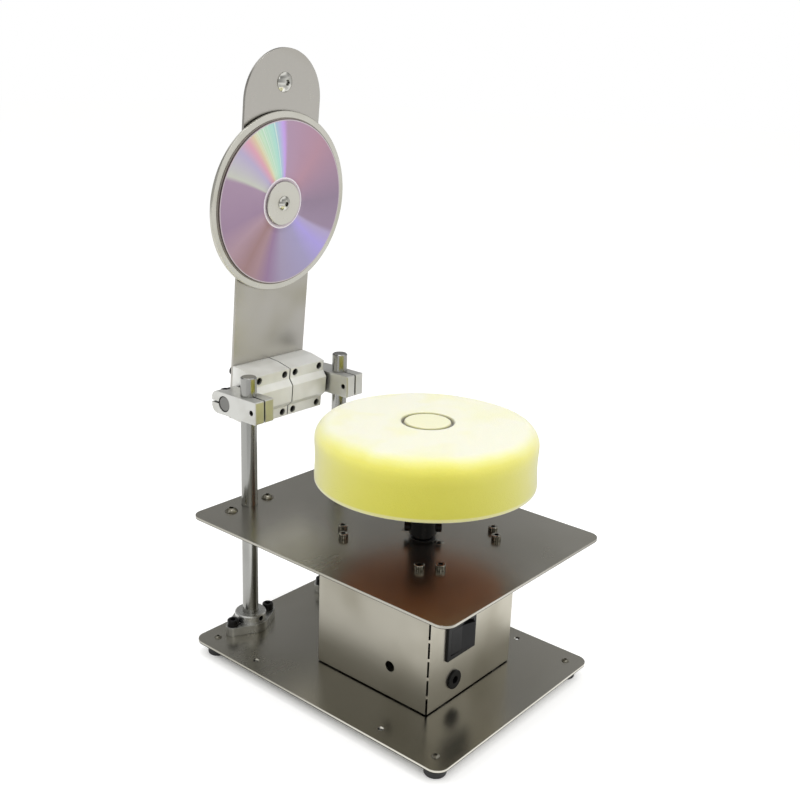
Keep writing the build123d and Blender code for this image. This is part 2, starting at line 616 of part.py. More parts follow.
# ---------------------------------------------------------------- cross clamps and shaft
def cross_clamps():
    """Two clamps that hold the shaft across behind the posts, slit towards each end."""
    head = head_size(CLAMP_BOLT)
    front_bolt_y = POST_Y - CLAMP_FRONT + head / 2 + CLAMP_BOLT_WALL + HEAD_CLEARANCE
    rear_bolt_y = SHAFT_Y + (POST_DIAMETER + CLAMP_BOLT) / 2 + CLAMP_BOLT_WALL
    length = CLAMP_FRONT + CLAMP_BORE_SPACING + CLAMP_REAR
    front_y = POST_Y - CLAMP_FRONT
    front_bolts, rear_bolts = [], []
    for name, side in SIDES.items():
        x = side * POST_X
        face = Plane((x + CLAMP_WIDTH / 2, front_bolt_y, SHAFT_Z), (0, 1, 0), (1, 0, 0))
        top = Plane((x, rear_bolt_y, SHAFT_Z + CLAMP_HEIGHT / 2))
        with BuildPart() as clamp:
            with Locations((x, front_y + length / 2, SHAFT_Z)):
                Box(CLAMP_WIDTH, length, CLAMP_HEIGHT)
            fillet(clamp.edges().filter_by(Axis.X).group_by(Axis.Y)[-1], CLAMP_REAR_RADIUS)
            chamfer(clamp.faces().sort_by(Axis.Y)[0].edges(), CLAMP_CHAMFER)
            drill(POST_PLANE.offset(SHAFT_Z), [(x, 0)], POST_DIAMETER + 2 * FIT)
            drill(Plane((x, SHAFT_Y, SHAFT_Z), (0, 1, 0), (1, 0, 0)), [(0, 0)], POST_DIAMETER + 2 * FIT)
            with BuildSketch(Plane.XY.offset(SHAFT_Z - CLAMP_HEIGHT / 2)):
                with Locations((x, (front_y + POST_Y) / 2)):
                    Rectangle(CLAMP_SLIT, CLAMP_FRONT)
            extrude(amount=CLAMP_HEIGHT, mode=Mode.SUBTRACT)
            with BuildSketch(Plane.XY.offset(SHAFT_Z - CLAMP_SLIT / 2)):
                with Locations((x, SHAFT_Y + CLAMP_REAR / 2)):
                    Rectangle(CLAMP_WIDTH, CLAMP_REAR)
            extrude(amount=CLAMP_SLIT, mode=Mode.SUBTRACT)
            bolt_hole, recess = CLAMP_BOLT / 2 + FIT, head / 2 + HEAD_CLEARANCE
            with Locations(face.location, top.location):
                CounterBoreHole(bolt_hole, recess, CLAMP_HEAD_RECESS)
        write(clamp, f"cross_clamp_{name}")
        front_bolts.append(face.offset(-CLAMP_HEAD_RECESS).location)
        rear_bolts.append(top.offset(-CLAMP_HEAD_RECESS).location)
    front_length = CLAMP_WIDTH - CLAMP_HEAD_RECESS - CLAMP_TIP_RECESS
    write_set("clamp_bolts_front", cap_screw(CLAMP_BOLT, front_length), front_bolts)
    write_set("clamp_bolts_rear", cap_screw(CLAMP_BOLT, CLAMP_HEIGHT - CLAMP_HEAD_RECESS), rear_bolts)


def cross_shaft():
    """The ground shaft that the arm swings on."""
    with BuildPart() as shaft:
        with Locations(Location((0, SHAFT_Y, SHAFT_Z), (0, 90, 0))):
            Cylinder(POST_DIAMETER / 2, SHAFT_LENGTH)
        chamfer(shaft.edges().filter_by(GeomType.CIRCLE), POST_CHAMFER)
    write(shaft, "cross_shaft")


# ---------------------------------------------------------------- arm
BLOCK_POINTS = corners(BLOCK_SCREW_PITCH / 2, BLOCK_SCREW_SPREAD / 2)


# Half of a block's cross-section: flat base, upright then sloped side, shoulder and hump.
BLOCK_HALF_SECTION = [
    (-BLOCK_BASE, 0),
    (-BLOCK_BASE, BLOCK_WIDTH / 2),
    (BLOCK_SIDE_RISE - BLOCK_BASE, BLOCK_WIDTH / 2),
    (BLOCK_SHOULDER, BLOCK_SHOULDER_WIDTH / 2),
    (BLOCK_SHOULDER, BLOCK_HUMP_FOOT / 2),
    (BLOCK_TOP, BLOCK_HUMP_WIDTH / 2),
    (BLOCK_TOP, 0),
]


def bearing_blocks():
    """Two blocks on the cross shaft, each with a sleeve bearing, tapped for four screws through the paddle."""
    heads = []
    screw_length = PADDLE_THICKNESS + BLOCK_BASE + BLOCK_SHOULDER - BLOCK_HOLE_DEPTH
    for name, side in SIDES.items():
        x = side * (BLOCK_LENGTH + BLOCK_GAP) / 2
        section = Plane((x, SHAFT_Y, SHAFT_Z), OUT_OF_ARM, (-1, 0, 0))
        shoulders = Plane(ARM.offset(BLOCK_SHOULDER).origin + Vector(x, 0, 0), (1, 0, 0), OUT_OF_ARM)
        behind = Plane(ARM.offset(PADDLE_BACK).origin + Vector(x, 0, 0), (1, 0, 0), -OUT_OF_ARM)
        with BuildPart() as block:
            with BuildSketch(section):
                with BuildLine():
                    Polyline(*BLOCK_HALF_SECTION)
                    mirror(about=Plane.XZ)
                make_face()
            extrude(amount=BLOCK_LENGTH / 2, both=True)
            drill(section, [(0, 0)], BEARING_DIAMETER + 2 * FIT)
            with Locations(*spots(shoulders, BLOCK_POINTS)):
                CounterBoreHole(BLOCK_SCREW / 2 + FIT, BLOCK_HOLE_DIAMETER / 2, BLOCK_HOLE_DEPTH)
        write(block, f"bearing_block_{name}")
        with BuildPart() as bearing:
            with BuildSketch(section):
                Circle(BEARING_DIAMETER / 2)
                Circle(POST_DIAMETER / 2 + RUNNING_FIT, mode=Mode.SUBTRACT)
            extrude(amount=BEARING_LENGTH / 2, both=True)
        write(bearing, f"linear_bearing_{name}")
        heads += spots(behind, BLOCK_POINTS)
    write_set("block_screws", cap_screw(BLOCK_SCREW, screw_length), heads)


def paddle():
    """Long steel plate with a round end, drilled for the blocks, the platter's spindle and the handle."""
    round_centre = PADDLE_RISE - PADDLE_WIDTH / 2
    block_offset = (BLOCK_LENGTH + BLOCK_GAP) / 2
    screw_points = [(x + side * block_offset, y) for x, y in BLOCK_POINTS for side in (-1, 1)]
    boss_hole = SPINDLE_DIAMETER + 2 * SPINDLE_BOSS_WALL + 2 * SCREW_CLEARANCE
    front = ARM.offset(PADDLE_FRONT)
    with BuildPart() as plate:
        with BuildSketch(front):
            with Locations((0, (round_centre - PADDLE_TAIL) / 2)):
                Rectangle(PADDLE_WIDTH, round_centre + PADDLE_TAIL)
            with Locations((0, round_centre)):
                Circle(PADDLE_WIDTH / 2)
        extrude(amount=-PADDLE_THICKNESS)
        drill(front, screw_points, BLOCK_SCREW + 2 * SCREW_CLEARANCE)
        drill(front, [(0, HANDLE_RISE)], HANDLE_SCREW + 2 * SCREW_CLEARANCE)
        drill(front, [(0, PLATTER_RISE)], boss_hole)
        drill(front, cup_screw_points(), CUP_SCREW + 2 * FIT)
    write(plate, "paddle")


def handle():
    """Turned knob behind the paddle's end, held by a dome-headed screw from the front."""
    neck, radius = KNOB_NECK_DIAMETER / 2, KNOB_DIAMETER / 2
    origin = ARM_PROFILE.location * Location((0, PADDLE_BACK, -HANDLE_RISE))
    profile = Plane(origin)
    screw_depth = HANDLE_SCREW_LENGTH - PADDLE_THICKNESS + KNOB_HOLE_END
    with BuildPart() as knob:
        with BuildSketch(profile):
            with BuildLine():
                Polyline((0, 0), (neck, 0), (neck, -KNOB_NECK_LENGTH))
                Spline(
                    (neck, -KNOB_NECK_LENGTH),
                    (radius, -KNOB_SHOULDER),
                    tangents=((0, -1), (0, -1)),
                )
                Line((radius, -KNOB_SHOULDER), (radius, KNOB_EDGE_RADIUS - KNOB_LENGTH))
                TangentArc(
                    (radius, KNOB_EDGE_RADIUS - KNOB_LENGTH),
                    (radius - KNOB_EDGE_RADIUS, -KNOB_LENGTH),
                    tangent=(0, -1),
                )
                Polyline((radius - KNOB_EDGE_RADIUS, -KNOB_LENGTH), (0, -KNOB_LENGTH), (0, 0))
            make_face()
        revolve(axis=Axis(profile.origin, OUT_OF_ARM))
        drill(ARM.offset(PADDLE_BACK), [(0, HANDLE_RISE)], HANDLE_SCREW + 2 * FIT, screw_depth)
    write(knob, "handle_knob")
    screw = button_screw(HANDLE_SCREW, HANDLE_SCREW_LENGTH, HANDLE_HEAD_DIAMETER, HANDLE_HEAD_HEIGHT)
    write_set("handle_screw", screw, spots(ARM.offset(PADDLE_FRONT), [(0, HANDLE_RISE)]))


# ---------------------------------------------------------------- platter's bearing
CUP_RADIUS = ROLLER_BEARING_DIAMETER / 2 + CUP_WALL
CUP_FLANGE_RADIUS = CUP_RADIUS + CUP_FLANGE_WIDTH
CUP_DEPTH = TURNING_GAP + ROLLER_BEARING_WIDTH + CUP_WALL


def cup_screw_points():
    """Screws round the bearing cup, in the paddle's own x and y."""
    reach = CUP_RADIUS + CUP_FLANGE_WIDTH / 2
    turns = [radians(90 + 360 * number / CUP_SCREWS) for number in range(CUP_SCREWS)]
    return [(reach * cos(turn), reach * sin(turn) + PLATTER_RISE) for turn in turns]


def bearing_cup():
    """Turned cup on the paddle's back with the platter's ball bearing, open towards the paddle."""
    back = ARM.offset(PADDLE_BACK)
    bearing_plane = ARM.offset(BEARING_FRONT)
    with BuildPart() as cup:
        with BuildSketch(back):
            with Locations((0, PLATTER_RISE)):
                Circle(CUP_FLANGE_RADIUS)
        extrude(amount=-CUP_FLANGE_THICKNESS)
        with BuildSketch(back):
            with Locations((0, PLATTER_RISE)):
                Circle(CUP_RADIUS)
        extrude(amount=-CUP_DEPTH)
        pocket = TURNING_GAP + ROLLER_BEARING_WIDTH
        drill(back, [(0, PLATTER_RISE)], ROLLER_BEARING_DIAMETER + 2 * FIT, pocket)
        drill(back, [(0, PLATTER_RISE)], SPINDLE_DIAMETER + 2 * CLIP_WIDTH + 4 * SCREW_CLEARANCE)
        drill(back, cup_screw_points(), CUP_SCREW + 2 * SCREW_CLEARANCE)
    write(cup, "bearing_cup")
    with BuildPart() as bearing:
        with BuildSketch(bearing_plane):
            with Locations((0, PLATTER_RISE)):
                Circle(ROLLER_BEARING_DIAMETER / 2)
                Circle(SPINDLE_DIAMETER / 2 + RUNNING_FIT, mode=Mode.SUBTRACT)
        extrude(amount=-ROLLER_BEARING_WIDTH)
    write(bearing, "platter_bearing")
    flange_back = ARM.offset(PADDLE_BACK - CUP_FLANGE_THICKNESS)
    seats = [seat * Location((0, 0, 0), (180, 0, 0)) for seat in spots(flange_back, cup_screw_points())]
    write_set("cup_screws", cap_screw(CUP_SCREW, CUP_FLANGE_THICKNESS + PADDLE_THICKNESS), seats)


# ---------------------------------------------------------------- platter
def round_plate(name, back, thickness, diameter, hole, edge=None):
    """A round plate on the platter's axis, from a distance along it, with a centre hole."""
    with BuildPart() as plate:
        with BuildSketch(ARM.offset(back)):
            with Locations((0, PLATTER_RISE)):
                Circle(diameter / 2)
                Circle(hole / 2, mode=Mode.SUBTRACT)
        extrude(amount=thickness)
        if edge:
            rims = plate.edges().filter_by(GeomType.CIRCLE).group_by(SortBy.RADIUS)[-1]
            chamfer(rims, edge)
    write(plate, name)


def platter():
    """Metal platter: a boss in front centres the disc, one behind runs through the paddle."""
    boss_radius = SPINDLE_DIAMETER / 2 + SPINDLE_BOSS_WALL
    seat_height = MAT_THICKNESS + DISC_THICKNESS - TURNING_GAP
    rear_reach = PLATTER_BACK - BEARING_FRONT - TURNING_GAP
    with BuildPart() as plate:
        with BuildSketch(ARM.offset(PLATTER_BACK)):
            with Locations((0, PLATTER_RISE)):
                Circle(PLATTER_DIAMETER / 2)
        extrude(amount=PLATTER_THICKNESS)
        chamfer(plate.edges().filter_by(GeomType.CIRCLE), PLATTER_EDGE_CHAMFER)
        with BuildSketch(ARM.offset(PLATTER_FRONT)):
            with Locations((0, PLATTER_RISE)):
                Circle(DISC_HOLE_DIAMETER / 2 - SCREW_CLEARANCE)
        extrude(amount=seat_height)
        with BuildSketch(ARM.offset(PLATTER_BACK)):
            with Locations((0, PLATTER_RISE)):
                Circle(boss_radius)
        extrude(amount=-rear_reach)
        drill(ARM.offset(PLATTER_BACK), [(0, PLATTER_RISE)], SPINDLE_DIAMETER + 2 * FIT)
    write(plate, "platter")


def spindle():
    """Turned spindle through the platter and its bearing, with a retaining ring behind."""
    front = PLATTER_FRONT + MAT_THICKNESS
    length = front - CLIP_FRONT + 2 * CLIP_THICKNESS
    groove_radius = SPINDLE_DIAMETER / 2 - CLIP_GROOVE_DEPTH
    with BuildPart() as axle:
        with BuildSketch(ARM.offset(front)):
            with Locations((0, PLATTER_RISE)):
                Circle(SPINDLE_DIAMETER / 2)
        extrude(amount=-length)
        with BuildSketch(ARM.offset(CLIP_FRONT)):
            with Locations((0, PLATTER_RISE)):
                Circle(SPINDLE_DIAMETER)
                Circle(groove_radius, mode=Mode.SUBTRACT)
        extrude(amount=-CLIP_THICKNESS, mode=Mode.SUBTRACT)
        drill(ARM.offset(front), [(0, PLATTER_RISE)], HUB_SCREW + 2 * FIT, HUB_SCREW_LENGTH)
    write(axle, "platter_spindle")
    with BuildPart() as clip:
        with BuildSketch(ARM.offset(CLIP_FRONT)):
            with Locations((0, PLATTER_RISE)):
                Circle(SPINDLE_DIAMETER / 2 + CLIP_WIDTH)
                Circle(groove_radius + FIT, mode=Mode.SUBTRACT)
            with Locations((0, PLATTER_RISE - SPINDLE_DIAMETER)):
                Rectangle(2 * CLIP_WIDTH, 2 * SPINDLE_DIAMETER - groove_radius, mode=Mode.SUBTRACT)
        extrude(amount=-CLIP_THICKNESS)
    write(clip, "spindle_clip")


def disc_stack():
    """Rubber mat, disc, clamping cap and hub screw on the front of the platter."""
    hub_hole = HUB_SCREW + 2 * SCREW_CLEARANCE
    round_plate("platter_mat", PLATTER_FRONT, MAT_THICKNESS, MAT_DIAMETER, DISC_HOLE_DIAMETER)
    round_plate("disc", MAT_FRONT, DISC_THICKNESS, DISC_DIAMETER, DISC_HOLE_DIAMETER)
    round_plate("hub_cap", DISC_FRONT, CAP_THICKNESS, CAP_DIAMETER, hub_hole, CAP_CHAMFER)
    screw = button_screw(HUB_SCREW, HUB_SCREW_LENGTH, HUB_HEAD_DIAMETER, HUB_HEAD_HEIGHT)
    write_set("hub_screw", screw, spots(ARM.offset(CAP_FRONT), [(0, PLATTER_RISE)]))


# ---------------------------------------------------------------- motor and pad
def motor():
    """Upright motor under the deck, its boss in the deck's hole, and its two countersunk screws."""
    radius = MOTOR_DIAMETER / 2
    with BuildPart() as body:
        with BuildSketch(PAD_PLANE.offset(DECK_BOTTOM)):
            Circle(radius)
        extrude(amount=-MOTOR_LENGTH)
        fillet(body.edges().filter_by(GeomType.CIRCLE), MOTOR_EDGE_RADIUS)
        with BuildSketch(PAD_PLANE.offset(DECK_BOTTOM)):
            Circle(MOTOR_BOSS_DIAMETER / 2)
        extrude(amount=PLATE_THICKNESS)
        with BuildSketch(PAD_PLANE.offset(DECK_BOTTOM - MOTOR_LENGTH)):
            Circle(MOTOR_BOSS_DIAMETER / 2)
        extrude(amount=-PLATE_THICKNESS)
        drill(PAD_PLANE.offset(DECK_TOP), [(0, 0)], MOTOR_SHAFT_DIAMETER + 2 * RUNNING_FIT)
        drill(PAD_PLANE.offset(DECK_BOTTOM), MOTOR_POINTS, MOTOR_SCREW + 2 * FIT, MOTOR_HOLE_DEPTH)
    write(body, "motor_body")
    screw = flat_screw(MOTOR_SCREW, MOTOR_SCREW_LENGTH)
    write_set("motor_screws", screw, spots(PAD_PLANE.offset(DECK_TOP), MOTOR_POINTS))
    shaft_bottom = DECK_BOTTOM - MOTOR_LENGTH
    shaft_length = ADAPTER_BOTTOM + MOTOR_SHAFT_IN_ADAPTER - shaft_bottom
    with BuildPart() as shaft:
        with Locations((0, PAD_Y, shaft_bottom)):
            Cylinder(MOTOR_SHAFT_DIAMETER / 2, shaft_length, align=UP)
    write(shaft, "motor_shaft")


def pad_adapter():
    """Turned adapter on the motor's shaft, with a stud for the backing plate and two radial cap screws."""
    neck, body, stud = ADAPTER_NECK_DIAMETER / 2, ADAPTER_DIAMETER / 2, ADAPTER_STUD_DIAMETER / 2
    neck_top = ADAPTER_BOTTOM + ADAPTER_NECK_LENGTH
    screw_z = neck_top + ADAPTER_SCREW_HEIGHT
    spot_face = head_size(ADAPTER_SCREW) / 2 + HEAD_CLEARANCE
    seat_radius = sqrt(body**2 - spot_face**2)
    seats = []
    with BuildPart() as adapter:
        with BuildSketch(UPRIGHT_MOTOR):
            with BuildLine():
                Polyline(
                    (0, ADAPTER_BOTTOM),
                    (neck, ADAPTER_BOTTOM),
                    (neck, neck_top),
                    (body, neck_top),
                    (body, BACKING_BOTTOM),
                    (stud, BACKING_BOTTOM),
                    (stud, PAD_BOTTOM - FIT),
                    (0, PAD_BOTTOM - FIT),
                    close=True,
                )
            make_face()
        revolve(axis=MOTOR_AXIS)
        with Locations((0, PAD_Y, ADAPTER_BOTTOM + MOTOR_SHAFT_IN_ADAPTER)):
            Hole(MOTOR_SHAFT_DIAMETER / 2 + FIT, MOTOR_SHAFT_IN_ADAPTER)
        for turn in (0, 180):
            heading = Location((0, PAD_Y, screw_z), (0, 0, ADAPTER_SCREW_ANGLE + turn))
            across = heading * Location((0, 0, 0), (0, 90, 0))
            seats.append(across * Location((0, 0, seat_radius)))
            with Locations(across * Location((0, 0, body))):
                CounterBoreHole(ADAPTER_SCREW / 2 + FIT, spot_face, body - seat_radius, body)
    write(adapter, "pad_adapter")
    length = seat_radius - MOTOR_SHAFT_DIAMETER / 2 - FIT
    write_set("adapter_screws", cap_screw(ADAPTER_SCREW, length), seats)


def backing_plate():
    """Stiff plate under the foam, thinner at its edge."""
    radius, hole = BACKING_DIAMETER / 2, ADAPTER_STUD_DIAMETER / 2 + FIT
    with BuildPart() as plate:
        with BuildSketch(UPRIGHT_MOTOR):
            with BuildLine():
                Polyline(
                    (hole, BACKING_BOTTOM),
                    (BACKING_HUB_DIAMETER / 2, BACKING_BOTTOM),
                    (radius, PAD_BOTTOM - BACKING_EDGE),
                    (radius, PAD_BOTTOM),
                    (hole, PAD_BOTTOM),
                    close=True,
                )
            make_face()
        revolve(axis=MOTOR_AXIS)
    write(plate, "backing_plate")


def foam_pad():
    """Round foam pad with a soft upper edge and a ring groove round its centre."""
    radius = PAD_DIAMETER / 2
    with BuildPart() as pad:
        with BuildSketch(PAD_PLANE.offset(PAD_BOTTOM)):
            Circle(radius)
        extrude(amount=PAD_THICKNESS)
        fillet(pad.edges().group_by(Axis.Z)[-1], PAD_EDGE_RADIUS)
        with BuildSketch(PAD_PLANE.offset(PAD_TOP)):
            Circle((PAD_GROOVE_DIAMETER + PAD_GROOVE_WIDTH) / 2)
            Circle((PAD_GROOVE_DIAMETER - PAD_GROOVE_WIDTH) / 2, mode=Mode.SUBTRACT)
        extrude(amount=-PAD_GROOVE_DEPTH, mode=Mode.SUBTRACT)
    write(pad, "foam_pad")


# ---------------------------------------------------------------- switch
SWITCH_CENTRE = Plane(
    (SWITCH_X, BOX_FRONT, BASE_TOP + SWITCH_HEIGHT_UP), (1, 0, 0), (0, -1, 0)
)  # on the panel's face: x right, y up, normal to the front
SWITCH_BODY_WIDTH = SWITCH_WIDTH - 2 * SWITCH_RIM
SWITCH_BODY_HEIGHT = SWITCH_HEIGHT - 2 * SWITCH_RIM
ROCKER_OPENING_WIDTH = SWITCH_BODY_WIDTH - 2 * SWITCH_WALL
ROCKER_OPENING_HEIGHT = SWITCH_BODY_HEIGHT - 2 * SWITCH_WALL
ROCKER_HEIGHT = ROCKER_OPENING_HEIGHT - 2 * ROCKER_CLEARANCE
ROCKER_RADIUS = ROCKER_OPENING_WIDTH / 2 - ROCKER_CLEARANCE
BLADE_POINTS = corners(BLADE_PITCH_X / 2, BLADE_PITCH_Z / 2)
# Seen from above, on the rocker's pivot: x to the right, y towards the front.
ROCKER_PIVOT = Plane(
    (SWITCH_X, BOX_FRONT + ROCKER_PIVOT_DEPTH, BASE_TOP + SWITCH_HEIGHT_UP), (1, 0, 0), (0, 0, -1)
)


def switch_housing():
    """Snap-in housing: a bezel on the panel, and a body behind it with the rocker's cavity."""
    with BuildPart() as housing:
        with BuildSketch(SWITCH_CENTRE):
            RectangleRounded(SWITCH_WIDTH, SWITCH_HEIGHT, SWITCH_EDGE_RADIUS)
        extrude(amount=SWITCH_BEZEL)
        chamfer(housing.faces().sort_by(Axis.Y)[0].edges(), SWITCH_CHAMFER)
        with BuildSketch(SWITCH_CENTRE):
            Rectangle(SWITCH_BODY_WIDTH, SWITCH_BODY_HEIGHT)
        extrude(amount=-SWITCH_DEPTH)
        with BuildSketch(SWITCH_CENTRE.offset(SWITCH_BEZEL)):
            Rectangle(ROCKER_OPENING_WIDTH, ROCKER_OPENING_HEIGHT)
        extrude(amount=-SWITCH_BEZEL - ROCKER_CAVITY, mode=Mode.SUBTRACT)
        with BuildSketch(ROCKER_PIVOT):
            Circle(ROCKER_PIN_DIAMETER / 2 + RUNNING_FIT)
        pin_reach = ROCKER_OPENING_HEIGHT / 2 + ROCKER_PIN_LENGTH
        extrude(amount=pin_reach, both=True, mode=Mode.SUBTRACT)
        with BuildSketch(SWITCH_CENTRE.offset(-SWITCH_DEPTH)):
            with Locations(*BLADE_POINTS):
                Rectangle(BLADE_THICKNESS, BLADE_WIDTH)
        extrude(amount=BLADE_LENGTH, mode=Mode.SUBTRACT)
    write(housing, "switch_housing")
    with BuildPart() as blades:
        with BuildSketch(SWITCH_CENTRE.offset(-SWITCH_DEPTH)):
            with Locations(*BLADE_POINTS):
                Rectangle(BLADE_THICKNESS, BLADE_WIDTH)
        extrude(amount=BLADE_LENGTH, both=True)
    write(blades, "switch_blades")


def switch_rocker():
    """Rocker with a dished face, its ends round about the pivot, tipped so its right end stands out."""
    middle, edge = ROCKER_FACE, ROCKER_FACE + ROCKER_RADIUS * sin(radians(ROCKER_DISH))
    end_x = sqrt(ROCKER_RADIUS**2 - edge**2)
    back_x = sqrt(ROCKER_RADIUS**2 - ROCKER_BACK**2)
    tipped = ROCKER_PIVOT.rotated((0, 0, -ROCKER_TILT))
    with BuildPart() as rocker:
        with BuildSketch(tipped):
            with BuildLine():
                Polyline((-end_x, edge), (0, middle), (end_x, edge))
                ThreePointArc((end_x, edge), (ROCKER_RADIUS, 0), (back_x, -ROCKER_BACK))
                Line((back_x, -ROCKER_BACK), (-back_x, -ROCKER_BACK))
                ThreePointArc((-back_x, -ROCKER_BACK), (-ROCKER_RADIUS, 0), (-end_x, edge))
            make_face()
        extrude(amount=ROCKER_HEIGHT / 2, both=True)
        with BuildSketch(ROCKER_PIVOT):
            Circle(ROCKER_PIN_DIAMETER / 2)
        extrude(amount=ROCKER_HEIGHT / 2 + ROCKER_CLEARANCE + ROCKER_PIN_LENGTH - TURNING_GAP, both=True)
    write(rocker, "switch_rocker")


# ---------------------------------------------------------------- power socket
def dc_jack():
    """Round power socket with its flange outside the panel, a centre pin and a nut inside."""
    face = Plane((JACK_X, BOX_FRONT, BASE_TOP + JACK_HEIGHT_UP), (1, 0, 0), (0, -1, 0))
    mouth = face.offset(JACK_FLANGE_THICKNESS)
    with BuildPart() as body:
        with BuildSketch(face):
            Circle(JACK_FLANGE_DIAMETER / 2)
        extrude(amount=JACK_FLANGE_THICKNESS)
        chamfer(body.edges().group_by(Axis.Y)[0], JACK_CHAMFER)
        with BuildSketch(face):
            Circle(JACK_BARREL_DIAMETER / 2)
        extrude(amount=-JACK_BARREL_LENGTH)
        drill(mouth, [(0, 0)], JACK_SOCKET_DIAMETER, JACK_SOCKET_DEPTH)
        drill(mouth, [(0, 0)], JACK_PIN_DIAMETER + 2 * FIT)
    write(body, "dc_jack")
    pin_length = JACK_BARREL_LENGTH + JACK_FLANGE_THICKNESS - JACK_PIN_INSET
    with BuildPart() as pin:
        with BuildSketch(mouth.offset(-JACK_PIN_INSET)):
            Circle(JACK_PIN_DIAMETER / 2)
        extrude(amount=-pin_length)
    write(pin, "dc_jack_pin")
    with BuildPart() as ring:
        with BuildSketch(face.offset(-SHEET)):
            RegularPolygon(JACK_NUT_FLATS / 2, 6, major_radius=False)
            Circle(JACK_BARREL_DIAMETER / 2 + FIT, mode=Mode.SUBTRACT)
        extrude(amount=-JACK_NUT_THICKNESS)
    write(ring, "dc_jack_nut")


# ---------------------------------------------------------------- build
base_plate()
deck_plate()
feet()
front_and_rear_panels()
side_panels()
tab_fasteners()
posts()
post_flanges()
cross_clamps()
cross_shaft()
bearing_blocks()
paddle()
handle()
bearing_cup()
platter()
spindle()
disc_stack()
motor()
pad_adapter()
backing_plate()
foam_pad()
switch_housing()
switch_rocker()
dc_jack()
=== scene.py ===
import json
from math import cos, radians, sin

import bpy
import numpy as np
from mathutils import Euler, Matrix, Vector


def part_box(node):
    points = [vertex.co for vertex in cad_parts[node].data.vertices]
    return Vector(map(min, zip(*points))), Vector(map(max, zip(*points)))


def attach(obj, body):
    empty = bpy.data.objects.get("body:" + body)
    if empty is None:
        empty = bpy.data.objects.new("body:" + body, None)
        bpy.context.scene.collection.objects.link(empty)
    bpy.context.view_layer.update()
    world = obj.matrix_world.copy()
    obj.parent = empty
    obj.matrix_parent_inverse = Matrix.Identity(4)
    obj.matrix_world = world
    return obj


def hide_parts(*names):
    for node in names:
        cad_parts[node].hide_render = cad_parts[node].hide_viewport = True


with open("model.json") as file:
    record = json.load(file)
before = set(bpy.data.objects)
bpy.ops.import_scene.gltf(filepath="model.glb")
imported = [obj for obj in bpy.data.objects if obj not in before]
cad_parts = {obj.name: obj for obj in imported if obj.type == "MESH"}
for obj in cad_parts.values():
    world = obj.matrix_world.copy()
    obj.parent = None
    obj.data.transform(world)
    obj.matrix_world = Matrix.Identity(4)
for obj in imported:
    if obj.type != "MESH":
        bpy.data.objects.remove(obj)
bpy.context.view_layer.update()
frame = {"nodes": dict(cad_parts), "record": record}

# A bench machine that polishes scratched discs: sheet-steel box and plates, a foam pad on an
# upright motor, and a hinged paddle that carries the disc. Metres, in the part's own frame.

# ---------------------------------------------------------------- places taken from the part
PAD_LOW, PAD_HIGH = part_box("foam_pad")
PAD_AXIS = ((PAD_LOW.x + PAD_HIGH.x) / 2, (PAD_LOW.y + PAD_HIGH.y) / 2)
PAD_RADIUS = (PAD_HIGH.x - PAD_LOW.x) / 2
PAD_THICKNESS = PAD_HIGH.z - PAD_LOW.z
DISC_LOW, DISC_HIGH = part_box("disc")
DISC_CENTRE = (DISC_LOW + DISC_HIGH) / 2
BASE_LOW, BASE_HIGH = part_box("base_plate")
BASE_CENTRE, BASE_HALF = (BASE_LOW + BASE_HIGH) / 2, (BASE_HIGH - BASE_LOW) / 2
ARM_LEAN = radians(4.8)
# A turn about X that takes z to the arm's outward normal and y up the paddle.
ARM_TURN = (radians(90) + ARM_LEAN, 0, 0)


# ---------------------------------------------------------------- surfaces
def headings(steps):
    """Even angles once round a circle, in radians."""
    return np.arange(steps) * (2 * np.pi / steps)


def ring_of_profile(name, profile, steps, centre, wobble):
    """A closed turned solid: point (r, z) of the profile, carried round the z axis by angle t, is
    (r cos t, r sin t, z), moved by the wobble, then placed at the centre. The profile starts and
    ends on the axis, where its rings close to one point each."""
    r, z = np.asarray(profile, float).T
    radius = np.repeat(r[1:-1, None], steps, 1)
    height = np.repeat(z[1:-1, None], steps, 1)
    angle = np.repeat(headings(steps)[None, :], len(r) - 2, 0)
    radius, height = wobble(radius, angle, height)
    rings = np.stack([radius * np.cos(angle), radius * np.sin(angle), height], -1).reshape(-1, 3)
    points = np.vstack([[0, 0, z[0]], rings, [0, 0, z[-1]]]) + np.array(centre)
    around = np.arange(steps)
    after = (around + 1) % steps
    start = 1 + np.arange(len(r) - 3)[:, None] * steps
    quads = np.stack(
        [start + around, start + after, start + steps + after, start + steps + around], -1
    )
    last = 1 + (len(r) - 3) * steps
    low = np.stack([np.zeros(steps, int), 1 + after, 1 + around], -1)
    high = np.stack([np.full(steps, len(points) - 1), last + around, last + after], -1)
    return shape(name, points, quads.reshape(-1, 4).tolist() + low.tolist() + high.tolist())


def shape(name, points, faces):
    """A smooth-shaded mesh object at the origin, its place in its points."""
    mesh = bpy.data.meshes.new(name)
    mesh.from_pydata(points.tolist(), [], faces)
    mesh.polygons.foreach_set("use_smooth", np.ones(len(mesh.polygons), bool))
    mesh.update()
    piece = bpy.data.objects.new(name, mesh)
    bpy.context.scene.collection.objects.link(piece)
    return piece


def arc(centre, radius, start, end, count):
    """Points on a circular arc: centre plus radius times (cos, sin) of angles from start to end,
    in degrees."""
    t = np.radians(np.linspace(start, end, count))
    return np.stack([centre[0] + radius * np.cos(t), centre[1] + radius * np.sin(t)], -1)


def run(start, end, count):
    """Evenly spaced points on a straight run, start (1 - t) + end t, both ends left out."""
    t = np.linspace(0, 1, count + 2)[1:-1, None]
    return np.array(start) * (1 - t) + np.array(end) * t


# ---------------------------------------------------------------- node trees
def feed(tree, made, inputs):
    """Gives a node its inputs: a socket is linked, and any other value is set."""
    for key, value in inputs.items():
        if isinstance(value, bpy.types.NodeSocket):
            tree.links.new(value, made.inputs[key])
        else:
            made.inputs[key].default_value = value
    return made


